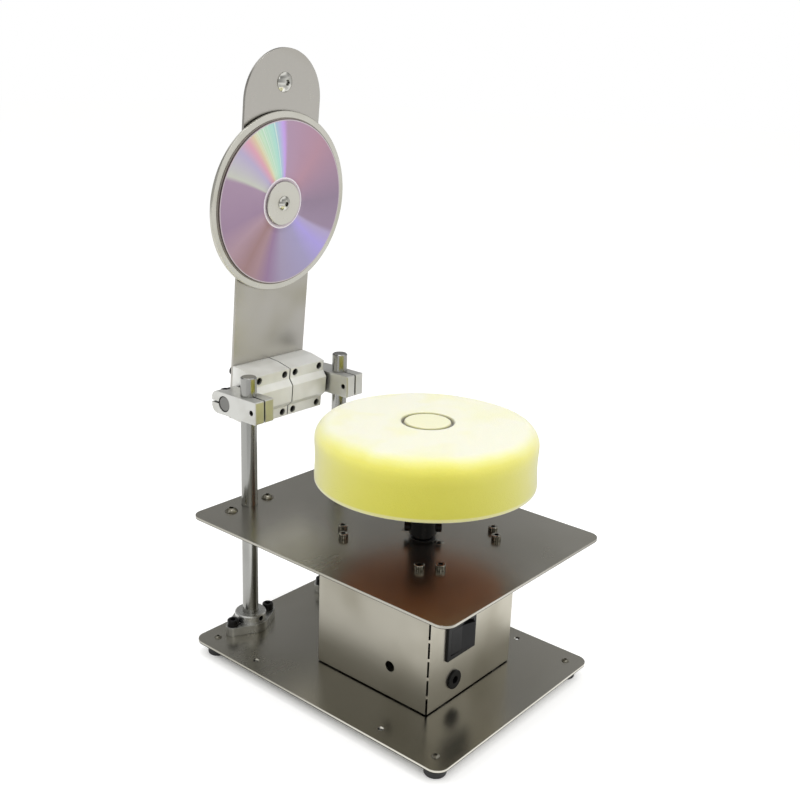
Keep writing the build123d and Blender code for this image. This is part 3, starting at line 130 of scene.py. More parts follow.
def add(tree, kind, inputs=None, **settings):
    """A shader node with its settings and inputs."""
    made = tree.nodes.new("ShaderNode" + kind)
    for key, value in settings.items():
        setattr(made, key, value)
    return feed(tree, made, inputs or {})


def use(tree, group, **inputs):
    """The outputs of one use of a node group, with its own values."""
    made = tree.nodes.new("ShaderNodeGroup")
    made.node_tree = group
    return feed(tree, made, inputs).outputs


def maths(tree, operation, *values):
    """The result of a Math node."""
    return add(tree, "Math", dict(enumerate(values)), operation=operation).outputs[0]


def split(tree, vector):
    """The X, Y and Z of a vector."""
    return add(tree, "SeparateXYZ", {0: vector}).outputs


def mixed(tree, mask, first, second):
    """First where the mask is 0, second where it is 1."""
    return add(tree, "Mix", {0: mask, 6: first, 7: second}, data_type="RGBA").outputs[2]


def ranged(tree, value, low, high):
    """Maps 0 to 1 onto low to high."""
    made = add(tree, "MapRange", {"Value": value, "To Min": low, "To Max": high})
    return made.outputs["Result"]


def between(tree, value, start, end, **settings):
    """0 at the start value, 1 at the end value and past it, and even between them."""
    made = add(tree, "MapRange", {"Value": value, "From Min": start, "From Max": end}, **settings)
    return made.outputs["Result"]


def ramp(tree, value, stops):
    """A colour ramp with stops of (position, colour)."""
    made = add(tree, "ValToRGB", {0: value})
    band = made.color_ramp
    while len(band.elements) < len(stops):
        band.elements.new(0.5)
    for element, (position, colour) in zip(band.elements, stops):
        element.position = position
        element.color = colour
    return made.outputs[0]


def shade(red, green, blue):
    """A linear colour from the 0 to 255 values a screen shows."""
    parts = [value / 255 for value in (red, green, blue)]
    return [p / 12.92 if p <= 0.04045 else ((p + 0.055) / 1.055) ** 2.4 for p in parts] + [1.0]


def grey(value):
    """An even linear grey."""
    return (value, value, value, 1.0)


# ---------------------------------------------------------------- effects that finishes share
# How far the true and the rounded-off normal agree, on a plain face and where an edge is fully
# worn and painted pale as a highlight; and the share of light let in, at the mouth of a hole and
# deep inside it, where the colour is painted dark as shade.
EDGE_TURN = (0.97, 0.75)
CAVITY_LIGHT = (0.46, 0.28)


def effect(name, inputs, outputs):
    """An empty node group with named sockets: its tree, its inputs and its output node."""
    tree = bpy.data.node_groups.new(name, "ShaderNodeTree")
    for label, kind, value in inputs:
        socket = tree.interface.new_socket(
            name=label, in_out="INPUT", socket_type="NodeSocket" + kind
        )
        if value is not None:
            socket.default_value = value
    for label, kind in outputs:
        tree.interface.new_socket(name=label, in_out="OUTPUT", socket_type="NodeSocket" + kind)
    given, out = tree.nodes.new("NodeGroupInput"), tree.nodes.new("NodeGroupOutput")
    return tree, given.outputs, out


def grain_effect():
    """Fine grain: noise on stretched coordinates, as a height."""
    tree, given, out = effect(
        "fine_grain",
        [("Vector", "Vector", None), ("Stretch", "Vector", (1, 1, 1)), ("Detail", "Float", 3.0)],
        [("Height", "Float")],
    )
    stretched = add(
        tree, "VectorMath", {0: given["Vector"], 1: given["Stretch"]}, operation="MULTIPLY"
    ).outputs[0]
    noise = add(tree, "TexNoise", {"Vector": stretched, "Scale": 1.0, "Detail": given["Detail"]})
    feed(tree, out, {"Height": noise.outputs["Fac"]})
    return tree


def marks_effect():
    """Handling marks: broad cloudy noise, slightly warped, pushed to soft-edged patches."""
    tree, given, out = effect(
        "handling_marks",
        [
            ("Vector", "Vector", None), ("Scale", "Float", 20.0),
            ("Low", "Float", 0.4), ("High", "Float", 0.7),
        ],
        [("Mask", "Float")],
    )
    noise = add(
        tree, "TexNoise",
        {"Vector": given["Vector"], "Scale": given["Scale"], "Detail": 2.0, "Distortion": 0.2},
    ).outputs["Fac"]
    patch = between(tree, noise, given["Low"], given["High"], interpolation_type="SMOOTHSTEP")
    feed(tree, out, {"Mask": patch})
    return tree


def edge_effect():
    """Edges worn and painted pale as a highlight, where a rounded-off normal turns away from the
    true one, broken up by noise, and painted shade in cavities, where holes and slits let little
    light in."""
    tree, given, out = effect(
        "worn_and_highlit_edges",
        [
            ("Vector", "Vector", None), ("Radius", "Float", 0.0004),
            ("Breakup", "Float", 0.5), ("Depth", "Float", 0.008),
        ],
        [("Mask", "Float"), ("Normal", "Vector"), ("Cavity Shade", "Float")],
    )
    hollow = add(tree, "AmbientOcclusion", {"Distance": given["Depth"]}, samples=6).outputs["AO"]
    rounded = add(tree, "Bevel", {"Radius": given["Radius"]}, samples=4).outputs[0]
    true = add(tree, "NewGeometry").outputs["Normal"]
    agree = add(tree, "VectorMath", {0: rounded, 1: true}, operation="DOT_PRODUCT").outputs["Value"]
    noise = add(tree, "TexNoise", {"Vector": given["Vector"], "Scale": 900.0, "Detail": 2.0})
    broken = between(tree, noise.outputs["Fac"], given["Breakup"], 0.2)
    feed(tree, out, {
        "Mask": maths(tree, "MULTIPLY", between(tree, agree, *EDGE_TURN), broken),
        "Normal": rounded,
        "Cavity Shade": between(tree, hollow, *CAVITY_LIGHT),
    })
    return tree


def shade_line_effect():
    """A painted shade line along an edge: 1 on upright faces between two heights."""
    tree, given, out = effect(
        "painted_shade_line",
        [("Vector", "Vector", None), ("Low", "Float", 0.0), ("High", "Float", 0.001)],
        [("Mask", "Float")],
    )
    facing = split(tree, add(tree, "NewGeometry").outputs["True Normal"])["Z"]
    upright = maths(tree, "LESS_THAN", maths(tree, "ABSOLUTE", facing), 0.5)
    level = split(tree, given["Vector"])["Z"]
    above = maths(tree, "GREATER_THAN", level, given["Low"])
    below = maths(tree, "LESS_THAN", level, given["High"])
    inside = maths(tree, "MULTIPLY", above, below)
    feed(tree, out, {"Mask": maths(tree, "MULTIPLY", inside, upright)})
    return tree


def axis_effect():
    """Place about an axis through a centre: radius, share of a turn, height, and it as a vector."""
    tree, given, out = effect(
        "about_an_axis",
        [
            ("Vector", "Vector", None), ("Centre", "Vector", (0, 0, 0)),
            ("Turn", "Vector", (0, 0, 0)),
        ],
        [("Radius", "Float"), ("Share", "Float"), ("Height", "Float"), ("Local", "Vector")],
    )
    local = add(
        tree, "Mapping",
        {"Vector": given["Vector"], "Location": given["Centre"], "Rotation": given["Turn"]},
        vector_type="TEXTURE",
    ).outputs[0]
    x, y, z = split(tree, local)
    flat = add(tree, "CombineXYZ", {"X": x, "Y": y}).outputs[0]
    radius = add(tree, "VectorMath", {0: flat}, operation="LENGTH").outputs["Value"]
    turns = maths(tree, "MULTIPLY_ADD", maths(tree, "ARCTAN2", y, x), 1 / (2 * np.pi), 1.0)
    share = maths(tree, "FRACT", turns)
    feed(tree, out, {"Radius": radius, "Share": share, "Height": z, "Local": local})
    return tree


GRAIN, MARKS, EDGES = grain_effect(), marks_effect(), edge_effect()
SHADE_LINE, ABOUT = shade_line_effect(), axis_effect()


# ---------------------------------------------------------------- metals and mouldings
# Painted shade: the colour of holes, slits and gaps.
CAVITY_SHADE = shade(22, 21, 19)
# Painted shade: the colour of a knurl's grooves.
KNURL_SHADE = shade(66, 60, 48)
# Painted shade: the colour of the dark lines along edges.
SHADE_LINE_TONE = shade(26, 24, 20)
GRAIN_DEPTH = 0.0001


def blank(name):
    """A new material, its node tree, its shader and its object coordinates."""
    material = bpy.data.materials.new(name)
    material.use_nodes = True
    tree = material.node_tree
    shader = tree.nodes["Principled BSDF"]
    return material, tree, shader, add(tree, "TexCoord").outputs["Object"]


def settle(shader, **values):
    """Sets constants on the shader's own sockets, whose names have spaces for underscores."""
    for label, value in values.items():
        shader.inputs[label.replace("_", " ")].default_value = value


def surface(tree, shader, colour, roughness, bump):
    """Links a colour, a roughness and a bump to the shader."""
    normal = add(tree, "Bump", bump).outputs[0]
    feed(tree, shader, {"Base Color": colour, "Roughness": roughness, "Normal": normal})


def knurl_mask(tree, count):
    """Upright grooves round a screw's head, painted dark as shade: 1 in a groove, by the sine of
    count times the heading of the face, and 0 on level faces."""
    x, y, z = split(tree, add(tree, "TexCoord").outputs["Normal"])
    heading = maths(tree, "ARCTAN2", y, x)
    wave = maths(tree, "SINE", maths(tree, "MULTIPLY", heading, count))
    upright = maths(tree, "LESS_THAN", maths(tree, "ABSOLUTE", z), 0.5)
    return maths(tree, "MULTIPLY", between(tree, wave, -0.3, 0.6), upright)


def metal(
    name, clean, marked, rough=(0.2, 0.3), stretch=(300, 300, 300), grain=0.1,
    marks=(14, 0.42, 0.68), wear_and_highlight=None, rounding=0.0003, metallic=1.0, shade_lines=(), knurl=None,
):
    """A metal finish: grain in its normal, marks in its colour and roughness, paler edges, partly
    rubbed and partly a painted highlight, painted shade in holes and slits, painted shade lines on
    upright faces between given heights, and a knurl with a number of grooves painted dark as shade."""
    material, tree, shader, place = blank(name)
    settle(shader, Metallic=metallic)
    scale, low, high = marks
    mask = use(tree, MARKS, Vector=place, Scale=scale, Low=low, High=high)["Mask"]
    height = use(tree, GRAIN, Vector=place, Stretch=stretch)["Height"]
    edges = use(tree, EDGES, Vector=place, Radius=rounding)
    colour = mixed(tree, mask, shade(*clean), shade(*marked))
    # Paler edges, partly wear and partly a painted highlight.
    if wear_and_highlight:
        colour = mixed(tree, edges["Mask"], colour, shade(*wear_and_highlight))
    # Painted shade in holes and slits.
    colour = mixed(tree, edges["Cavity Shade"], colour, CAVITY_SHADE)
    # Painted shade in the knurl's grooves.
    if knurl:
        colour = mixed(tree, knurl_mask(tree, knurl), colour, KNURL_SHADE)
    # Painted shade lines on upright faces between the given heights.
    for bottom, top in shade_lines:
        line = use(tree, SHADE_LINE, Vector=place, Low=bottom, High=top)["Mask"]
        colour = mixed(tree, line, colour, SHADE_LINE_TONE)
    blend = add(tree, "Mix", {0: 0.5, 2: mask, 3: height}).outputs[0]
    bump = {"Height": height, "Strength": grain, "Distance": GRAIN_DEPTH, "Normal": edges["Normal"]}
    surface(tree, shader, colour, ranged(tree, blend, *rough), bump)
    return material


def moulding(name, clean, marked, rough=(0.3, 0.45), metallic=0.0, specular=0.5, wear_and_highlight=None):
    """Black plastic, rubber or oxide: fine even grain, slight cloudiness, softened edges, and
    perhaps paler edges, partly wear and partly a painted highlight."""
    material, tree, shader, place = blank(name)
    settle(shader, Metallic=metallic, Specular_IOR_Level=specular)
    mask = use(tree, MARKS, Vector=place, Scale=60.0, Low=0.4, High=0.7)["Mask"]
    height = use(tree, GRAIN, Vector=place, Stretch=(1500, 1500, 1500))["Height"]
    edges = use(tree, EDGES, Vector=place, Radius=0.0003)
    colour = mixed(tree, mask, shade(*clean), shade(*marked))
    # Paler edges, partly wear and partly a painted highlight.
    if wear_and_highlight:
        colour = mixed(tree, edges["Mask"], colour, shade(*wear_and_highlight))
    bump = {"Height": height, "Strength": 0.15, "Distance": GRAIN_DEPTH, "Normal": edges["Normal"]}
    surface(tree, shader, colour, ranged(tree, mask, *rough), bump)
    return material


# ---------------------------------------------------------------- foam's finish
FOAM_CORE = shade(247, 244, 188)
FOAM_RIM = shade(224, 219, 150)
# Painted shade in the groove.
FOAM_GROOVE_SHADE = shade(120, 114, 74)
FOAM_UNDER_SHADE = shade(128, 104, 58)
FOAM_PORES = shade(176, 168, 70)
GROOVE_RADIUS = 0.01725
GROOVE_SHADE_WIDTH = 0.0020
# Heights over the pad's bottom at which the pale rim and the painted shade underneath end and are
# full.
RIM_HEIGHTS = (0.0030, 0.0022)
UNDER_SHADE_HEIGHTS = (0.0004, 0.0001)
# Colour of the foam's side: mm below the top, where it is partly rubbed pale and partly painted
# paler as light from above, down to the backing.
FADE_DEPTH = 40
FOAM_FADE = [
    (0, (252, 250, 217)), (1.4, (251, 249, 192)), (3.6, (248, 245, 148)), (7, (241, 235, 108)),
    (12, (230, 224, 86)), (18, (222, 216, 74)), (FADE_DEPTH, (214, 209, 68)),
]
# The fade wanders up and down by half of this share of its depth.
FADE_WANDER = 0.05


def foam_finish():
    """Fine open-cell foam: yellow sides, a top paler from rubbing and from painted light, painted
    shade in the groove, a pale lower rim and brown painted shade underneath."""
    material, tree, shader, place = blank("fine_foam")
    about = use(tree, ABOUT, Vector=place, Centre=(*PAD_AXIS, PAD_LOW.z))
    radius, height = about["Radius"], about["Height"]
    clouds = use(tree, MARKS, Vector=place, Scale=26.0, Low=0.35, High=0.7)["Mask"]
    # The side grows paler towards the top, partly rubbed foam and partly painted light from above.
    drop = between(tree, height, PAD_THICKNESS, PAD_THICKNESS - FADE_DEPTH / 1000)
    wander = maths(tree, "MULTIPLY_ADD", clouds, FADE_WANDER, drop)
    wander = maths(tree, "SUBTRACT", wander, FADE_WANDER / 2)
    colour = ramp(tree, wander, [(depth / FADE_DEPTH, shade(*tone)) for depth, tone in FOAM_FADE])
    core = between(tree, radius, GROOVE_RADIUS + 0.0006, GROOVE_RADIUS - 0.0006)
    colour = mixed(tree, core, colour, FOAM_CORE)
    colour = mixed(tree, between(tree, height, *RIM_HEIGHTS), colour, FOAM_RIM)
    # Painted shade under the pad.
    colour = mixed(tree, between(tree, height, *UNDER_SHADE_HEIGHTS), colour, FOAM_UNDER_SHADE)
    # Painted shade in the groove's depth.
    depth = between(tree, height, PAD_THICKNESS + 0.0004, PAD_THICKNESS - 0.0014)
    inside = maths(tree, "COMPARE", radius, GROOVE_RADIUS, GROOVE_SHADE_WIDTH)
    colour = mixed(tree, maths(tree, "MULTIPLY", depth, inside), colour, FOAM_GROOVE_SHADE)
    cells = add(tree, "TexVoronoi", {"Vector": place, "Scale": 1300.0}, feature="F1")
    pores = between(tree, cells.outputs["Distance"], 0.1, 0.7)
    colour = mixed(tree, ranged(tree, pores, 0.06, 0.0), colour, FOAM_PORES)
    settle(
        shader, Roughness=0.9, Specular_IOR_Level=0.25, Sheen_Weight=1.0, Sheen_Roughness=0.55,
        Subsurface_Weight=0.35, Subsurface_Radius=(0.9, 0.75, 0.25), Subsurface_Scale=0.008,
    )
    bump = add(tree, "Bump", {"Height": pores, "Strength": 0.35, "Distance": 0.0003}).outputs[0]
    feed(tree, shader, {"Base Color": colour, "Normal": bump})
    return material


# ---------------------------------------------------------------- disc's finish
# Painted diffraction fans round the disc, standing in for light split by its tracks: angle in
# degrees from the paddle's right, counter-clockwise, and colour.
FANS = [
    (0, (150, 130, 152)), (22, (168, 138, 160)), (48, (186, 145, 162)), (88, (182, 152, 178)),
    (92, (206, 168, 240)), (103, (160, 222, 208)), (115, (196, 228, 190)), (120, (226, 214, 170)),
    (127, (226, 168, 186)), (136, (190, 178, 210)), (155, (204, 206, 194)), (158, (172, 146, 170)),
    (195, (163, 136, 162)), (212, (180, 150, 164)), (232, (164, 130, 132)), (243, (172, 140, 148)),
    (256, (156, 126, 160)), (272, (168, 156, 184)), (300, (168, 160, 198)), (318, (178, 164, 230)),
    (330, (182, 168, 205)), (334, (158, 138, 162)), (360, (150, 130, 152)),
]
# How the fans bend: shares of a turn per metre outwards, and at the middle.
FAN_BEND = (-0.35, 0.0145)
# The fan with fine painted bright streaks: share of a turn and half its width, and streaks per
# turn.
STREAK_FAN = (0.305, 0.03)
STREAKS = 260.0
# Radii, in metres: where the mirror starts and ends, the bright ring and half its width, the edge
# painted dark as shade.
MIRROR_START = (0.0188, 0.0185)
MIRROR_END = (0.0589, 0.0592)
HUB_RING = (0.0183, 0.0004)
OUTER_EDGE = (0.05965, 0.05990)
TRACKS = 9000.0
DISC_STREAK_HIGHLIGHT = shade(232, 242, 232)
DISC_CLEAR = shade(203, 190, 198)
DISC_RING = shade(240, 234, 240)
DISC_EDGE_SHADE = shade(70, 50, 52)


def disc_finish():
    """Clear plastic over a mirror layer: painted diffraction fans with painted bright streaks
    between the hub and rim, clear bands inside and out, a bright ring round the hub and painted
    shade on the outer edge."""
    material, tree, shader, place = blank("optical_disc")
    about = use(tree, ABOUT, Vector=place, Centre=DISC_CENTRE, Turn=ARM_TURN)
    radius = about["Radius"]
    bend = maths(tree, "MULTIPLY_ADD", radius, *FAN_BEND)
    swept = maths(tree, "ADD", about["Share"], bend)
    # Painted reflection: diffraction colours fixed round the disc, with bright streaks.
    fans = ramp(tree, swept, [(angle / 360, shade(*tone)) for angle, tone in FANS])
    streaks = add(
        tree, "TexNoise", {"W": maths(tree, "MULTIPLY", swept, STREAKS), "Scale": 1.0},
        noise_dimensions="1D",
    ).outputs["Fac"]
    bright = maths(tree, "COMPARE", swept, *STREAK_FAN)
    bright = maths(tree, "MULTIPLY", bright, ranged(tree, streaks, -0.5, 1.0))
    fans = mixed(tree, maths(tree, "MAXIMUM", bright, 0.0), fans, DISC_STREAK_HIGHLIGHT)
    fans = add(tree, "VectorMath", {0: fans, "Scale": 1.03}, operation="SCALE").outputs[0]
    hub = between(tree, radius, *MIRROR_START)
    clear = maths(tree, "MAXIMUM", hub, between(tree, radius, *MIRROR_END))
    colour = mixed(tree, clear, fans, DISC_CLEAR)
    colour = mixed(tree, maths(tree, "COMPARE", radius, *HUB_RING), colour, DISC_RING)
    # Painted shade on the disc's outer edge.
    colour = mixed(tree, between(tree, radius, *OUTER_EDGE), colour, DISC_EDGE_SHADE)
    dust = use(tree, MARKS, Vector=about["Local"], Scale=90.0, Low=0.5, High=0.8)["Mask"]
    wave = maths(tree, "SINE", maths(tree, "MULTIPLY", radius, TRACKS))
    settle(shader, Coat_Weight=0.6, Coat_Roughness=0.05)
    feed(tree, shader, {"Metallic": ranged(tree, clear, 0.85, 0.15)})
    bump = {"Height": wave, "Strength": 0.02, "Distance": 0.00005}
    surface(tree, shader, colour, ranged(tree, dust, 0.3, 0.36), bump)
    return material


# ---------------------------------------------------------------- every finish
# Heights of the painted shade lines along the plates' edges and round the foot of the box.
PLATE_SHADE_LINES = [(0.0099, 0.0105), (0.1119, 0.1123)]
BOX_SHADE_LINES = [(0.0119, 0.0130)]
FINE, FINEST = (900, 900, 900), (1600, 1600, 1600)
FINISHES = {
    "plate_steel": metal(
        "satin_plate", (186, 183, 173), (174, 171, 159), rough=(0.22, 0.30),
        stretch=(40, 260, 260), grain=0.02, marks=(11, 0.4, 0.75), wear_and_highlight=(215, 212, 200),
        shade_lines=PLATE_SHADE_LINES,
    ),
    "box_sheet": metal(
        "box_sheet", (184, 180, 167), (164, 159, 144), rough=(0.32, 0.44), stretch=(60, 60, 220),
        grain=0.07, marks=(16, 0.42, 0.75), wear_and_highlight=(215, 212, 200), shade_lines=BOX_SHADE_LINES,
    ),
    "paddle_steel": metal(
        "paddle_sheet", (190, 187, 180), (174, 170, 156), rough=(0.26, 0.36),
        stretch=(260, 260, 40), grain=0.06, marks=(15, 0.45, 0.75), wear_and_highlight=(220, 218, 210),
    ),
    "platter_face": metal(
        "turned_platter", (212, 210, 200), (194, 191, 176), rough=(0.26, 0.34),
        stretch=(500, 500, 500), grain=0.06, marks=(20, 0.45, 0.75), wear_and_highlight=(214, 212, 202),
    ),
    "screw_steel": metal(
        "screw_steel", (196, 192, 180), (128, 124, 112), rough=(0.08, 0.2), stretch=FINE,
        marks=(500, 0.4, 0.6), wear_and_highlight=(252, 250, 242), rounding=0.0006, knurl=14.0,
    ),
    "dull_screw": metal(
        "dull_screw", (150, 147, 135), (108, 104, 92), rough=(0.3, 0.45), stretch=FINE,
        marks=(400, 0.4, 0.6), rounding=0.0005,
    ),
    "chrome_screw": metal(
        "bright_screw", (214, 213, 206), (176, 175, 166), rough=(0.08, 0.16), stretch=FINE,
        grain=0.04, marks=(200, 0.45, 0.75),
    ),
    "turned_flange": metal(
        "turned_flange", (204, 204, 200), (176, 175, 168), rough=(0.24, 0.34),
        stretch=(1200, 1200, 1200), grain=0.06, marks=(60, 0.4, 0.7), wear_and_highlight=(240, 240, 236),
        rounding=0.0006, metallic=0.9,
    ),
    "cast_aluminium": metal(
        "satin_aluminium", (245, 245, 240), (230, 229, 222), rough=(0.36, 0.48), stretch=FINEST,
        marks=(40, 0.4, 0.75), wear_and_highlight=(250, 250, 246), rounding=0.0005, metallic=0.35,
    ),
    "clamp_aluminium": metal(
        "clamp_aluminium", (218, 218, 213), (202, 201, 194), rough=(0.3, 0.4), stretch=FINEST,
        marks=(40, 0.4, 0.75), wear_and_highlight=(248, 248, 244), rounding=0.0005, metallic=0.75,
    ),
    "shaft_end": metal(
        "shaft_end", (140, 140, 137), (124, 123, 119), rough=(0.25, 0.35), stretch=FINE,
        grain=0.05,
    ),
    "ground_shaft": metal(
        "ground_shaft", (168, 168, 164), (152, 151, 146), rough=(0.16, 0.24),
        stretch=(200, 200, 2400), grain=0.03, marks=(30, 0.45, 0.8),
    ),
    "brass_contacts": metal("brass", (205, 172, 96), (180, 146, 78)),
    "motor_can": metal("motor_can", (132, 132, 134), (112, 112, 114), rough=(0.3, 0.4)),
    "rubber": moulding("black_rubber", (24, 24, 24), (34, 33, 32), (0.6, 0.75)),
    "mat_rubber": moulding("mat_rubber", (150, 142, 134), (136, 128, 122), (0.5, 0.6)),
    "brown_backing": moulding("brown_backing", (212, 130, 64), (188, 112, 54), (0.6, 0.75)),
    "black_plastic": moulding(
        "black_moulding", (13, 13, 14), (18, 18, 19), (0.3, 0.4), specular=0.18, wear_and_highlight=(84, 84, 88),
    ),
    "black_adapter": moulding(
        "black_adapter", (17, 17, 18), (26, 26, 27), (0.2, 0.32), metallic=0.4,
    ),
    "black_screw": moulding(
        "black_oxide", (20, 19, 18), (30, 29, 27), (0.3, 0.42), metallic=0.3, specular=0.3,
    ),
    "foam": foam_finish(),
    "disc": disc_finish(),
}
# Nodes whose finish isn't the one that their slot names.
OWN_FINISHES = {
    "box_panel_front": "box_sheet",
    "box_panel_rear": "box_sheet",
    "box_panel_left": "box_sheet",
    "box_panel_right": "box_sheet",
    "platter": "platter_face",
    "hub_cap": "platter_face",
    "platter_mat": "mat_rubber",
    "backing_plate": "brown_backing",
    "post_foot_screws": "black_screw",
    "block_screws": "black_screw",
    "clamp_bolts_front": "black_screw",
    "clamp_bolts_rear": "black_screw",
    "foot_screws": "dull_screw",
    "deck_flange_screws": "dull_screw",
    "cross_shaft": "shaft_end",
    "cross_clamp_left": "clamp_aluminium",
    "cross_clamp_right": "clamp_aluminium",
    "post_foot_left": "turned_flange",
    "post_foot_right": "turned_flange",
    "deck_flange_left": "turned_flange",
    "deck_flange_right": "turned_flange",
}

for part in frame["record"]["subparts"]:
    node = frame["nodes"][part["node"]]
    finish = OWN_FINISHES.get(part["node"], part["material_slot"])
    node.data.materials.clear()
    node.data.materials.append(FINISHES[finish])


# ---------------------------------------------------------------- foam pad
def pad_wobble(radius, angle, height):
    """Cut foam is never quite true: the radius and top move by a few tenths of a millimetre on slow
    waves, sums of sines of 2, 3, 5 and 7 times the angle that grow towards the edge."""
    share = radius / PAD_RADIUS
    level = (height - PAD_LOW.z) / PAD_THICKNESS
    slow = np.sin(2 * angle + 0.7) + 0.6 * np.sin(3 * angle + 2.1 + 4 * level)
    slow = slow + 0.4 * np.sin(7 * angle + 1.3)
    inward = 0.00022 * (slow + 1.0) * share**4
    sag = 0.00014 * (np.sin(3 * angle + 0.4) + np.sin(5 * angle + 9 * share) + 2.0)
    sag = sag * np.clip(share * 3 - 0.9, 0, 1)
    on_top = np.clip((level - 0.8) / 0.2, 0, 1)
    return radius - inward, height - sag * on_top


def foam_pad():
    """The pad's profile: flat bottom, small lower round, slightly hollow side, wide upper round, a
    top that falls by the crown times (r / outer radius) cubed, and a groove with rounded lips."""
    low, high, outer = PAD_LOW.z, PAD_HIGH.z, PAD_RADIUS
    lower, upper, crown, hollow = 0.0012, 0.0115, 0.0009, 0.0005
    groove, half, depth, lip = GROOVE_RADIUS, 0.0012, 0.003, 0.0006
    side = run((outer, low + lower), (outer, high - upper), 14)
    side[:, 0] -= hollow * np.sin(np.pi * np.linspace(0, 1, len(side)))
    shoulder = arc((outer - upper, high - upper), upper, 0, 90, 16)
    shoulder[:, 1] -= crown * (shoulder[:, 0] / outer) ** 3
    top = run((outer - upper, high), (groove + half + lip, high), 26)
    top[:, 1] -= crown * (top[:, 0] / outer) ** 3
    profile = np.vstack([
        [(0, low)],
        run((0, low), (outer - lower, low), 12),
        arc((outer - lower, low + lower), lower, -90, 0, 6),
        side,
        shoulder,
        top,
        arc((groove + half + lip, high - lip), lip, 90, 180, 5),
        run((groove + half, high - lip), (groove + half * 0.5, high - depth), 4),
        [(groove + half * 0.4, high - depth), (groove - half * 0.4, high - depth)],
        run((groove - half * 0.5, high - depth), (groove - half, high - lip), 4),
        arc((groove - half - lip, high - lip), lip, 0, 90, 5),
        run((groove - half - lip, high), (0, high), 8),
        [(0, high)],
    ])
    piece = ring_of_profile("polishing_foam", profile, 240, (*PAD_AXIS, 0), pad_wobble)
    piece.data.materials.append(FINISHES["foam"])
    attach(piece, "pad")
    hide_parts("foam_pad")


# ---------------------------------------------------------------- disc
def disc_body():
    """The disc's closed profile of (r, z), in mm about its own middle, carried round its axis by
    angle t to (r cos t, r sin t, z): rounded rim, flat faces, a raised stacking ring and a shallow
    moulding groove near the hub, and a chamfered hole."""
    thick, rim, hole = 0.6, 60.0, 7.5
    front = [
        (rim, -thick + 0.25), (rim, thick - 0.25), (rim - 0.1, thick - 0.08), (rim - 0.3, thick),
        (58.8, thick), (40.0, thick), (23.0, thick), (18.2, thick), (18.0, thick + 0.12),
        (17.2, thick + 0.12), (17.0, thick), (11.4, thick), (11.2, thick - 0.15),
        (10.8, thick - 0.15), (10.6, thick), (hole + 0.2, thick), (hole, thick - 0.2),
    ]
    back = [
        (hole, -thick + 0.2), (hole + 0.2, -thick), (rim - 0.3, -thick), (rim - 0.1, -thick + 0.08),
    ]
    loop = np.array(front + back)[::-1] / 1000
    steps = 192
    t = headings(steps)
    r, z = loop[:, 0][:, None], loop[:, 1][:, None]
    points = np.stack([r * np.cos(t), r * np.sin(t), z + 0 * t], -1).reshape(-1, 3)
    placed = points @ np.array(Euler(ARM_TURN).to_matrix()).T + np.array(DISC_CENTRE)
    rows, around = np.arange(len(loop))[:, None], np.arange(steps)
    after, following = (around + 1) % steps, (rows + 1) % len(loop)
    quads = np.stack([
        rows * steps + around, following * steps + around,
        following * steps + after, rows * steps + after,
    ], -1).reshape(-1, 4)
    piece = shape("disc_with_rings", placed, quads.tolist())
    piece.data.materials.append(FINISHES["disc"])
    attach(piece, "platter")
    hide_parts("disc")


foam_pad()
disc_body()

# ---------------------------------------------------------------- studio
WHITE = grey(1.0)
# How bright the floor is in metal: metres from the middle, and grey.
FLOOR_REACH = 2
FLOOR = [(0, 1.0), (0.24, 1.0), (0.38, 0.50), (0.56, 0.46), (0.85, 0.61), (FLOOR_REACH, 0.61)]
FLOOR_STRENGTH = 1.55
# The floor in metal: grey behind, and a painted shadow under the base plate.
FLOOR_BEHIND, FLOOR_SHADOW = grey(0.66), grey(0.04)
# Light that the floor gives where it is seen straight.
FLOOR_LIFT = 0.42
# How bright the room round the table is in metal: degrees from +X, counter-clockwise, and grey.
ROOM = [
    (0, 0.54), (20, 0.50), (38, 0.27), (56, 0.36), (90, 0.42), (140, 0.48), (175, 0.54),
    (205, 0.40), (250, 0.40), (285, 0.66), (318, 0.95), (345, 0.66), (360, 0.54),
]
ROOM_RADIUS, ROOM_HEIGHT = 2.2, 2.8
WORLD_STRENGTH = 0.66
LAMP_AIM = Vector((0, -0.02, 0.16))
# Name, place, size, power, and whether metal shows it.
LAMPS = [
    ("left_lamp", (-1.1, 0.6, 1.2), 0.9, 5.6, False),
    ("top_lamp", (-0.1, 0.1, 1.6), 0.4, 3.0, True),
    ("right_lamp", (0.9, -1.2, 1.2), 0.9, 7.4, False),
    ("front_lamp", (-1.0, -1.1, 1.3), 0.9, 2.0, True),
]


def shadow_under_base(tree, place):
    """Painted shadow on the floor: 1 under the base plate, fading to 0 over its last few
    millimetres.
    """
    shares = []
    for axis, label in enumerate("XY"):
        off = maths(tree, "SUBTRACT", split(tree, place)[label], BASE_CENTRE[axis])
        away = maths(tree, "ABSOLUTE", off)
        shares.append(between(tree, away, BASE_HALF[axis], BASE_HALF[axis] - 0.012))
    return maths(tree, "MULTIPLY", *shares)


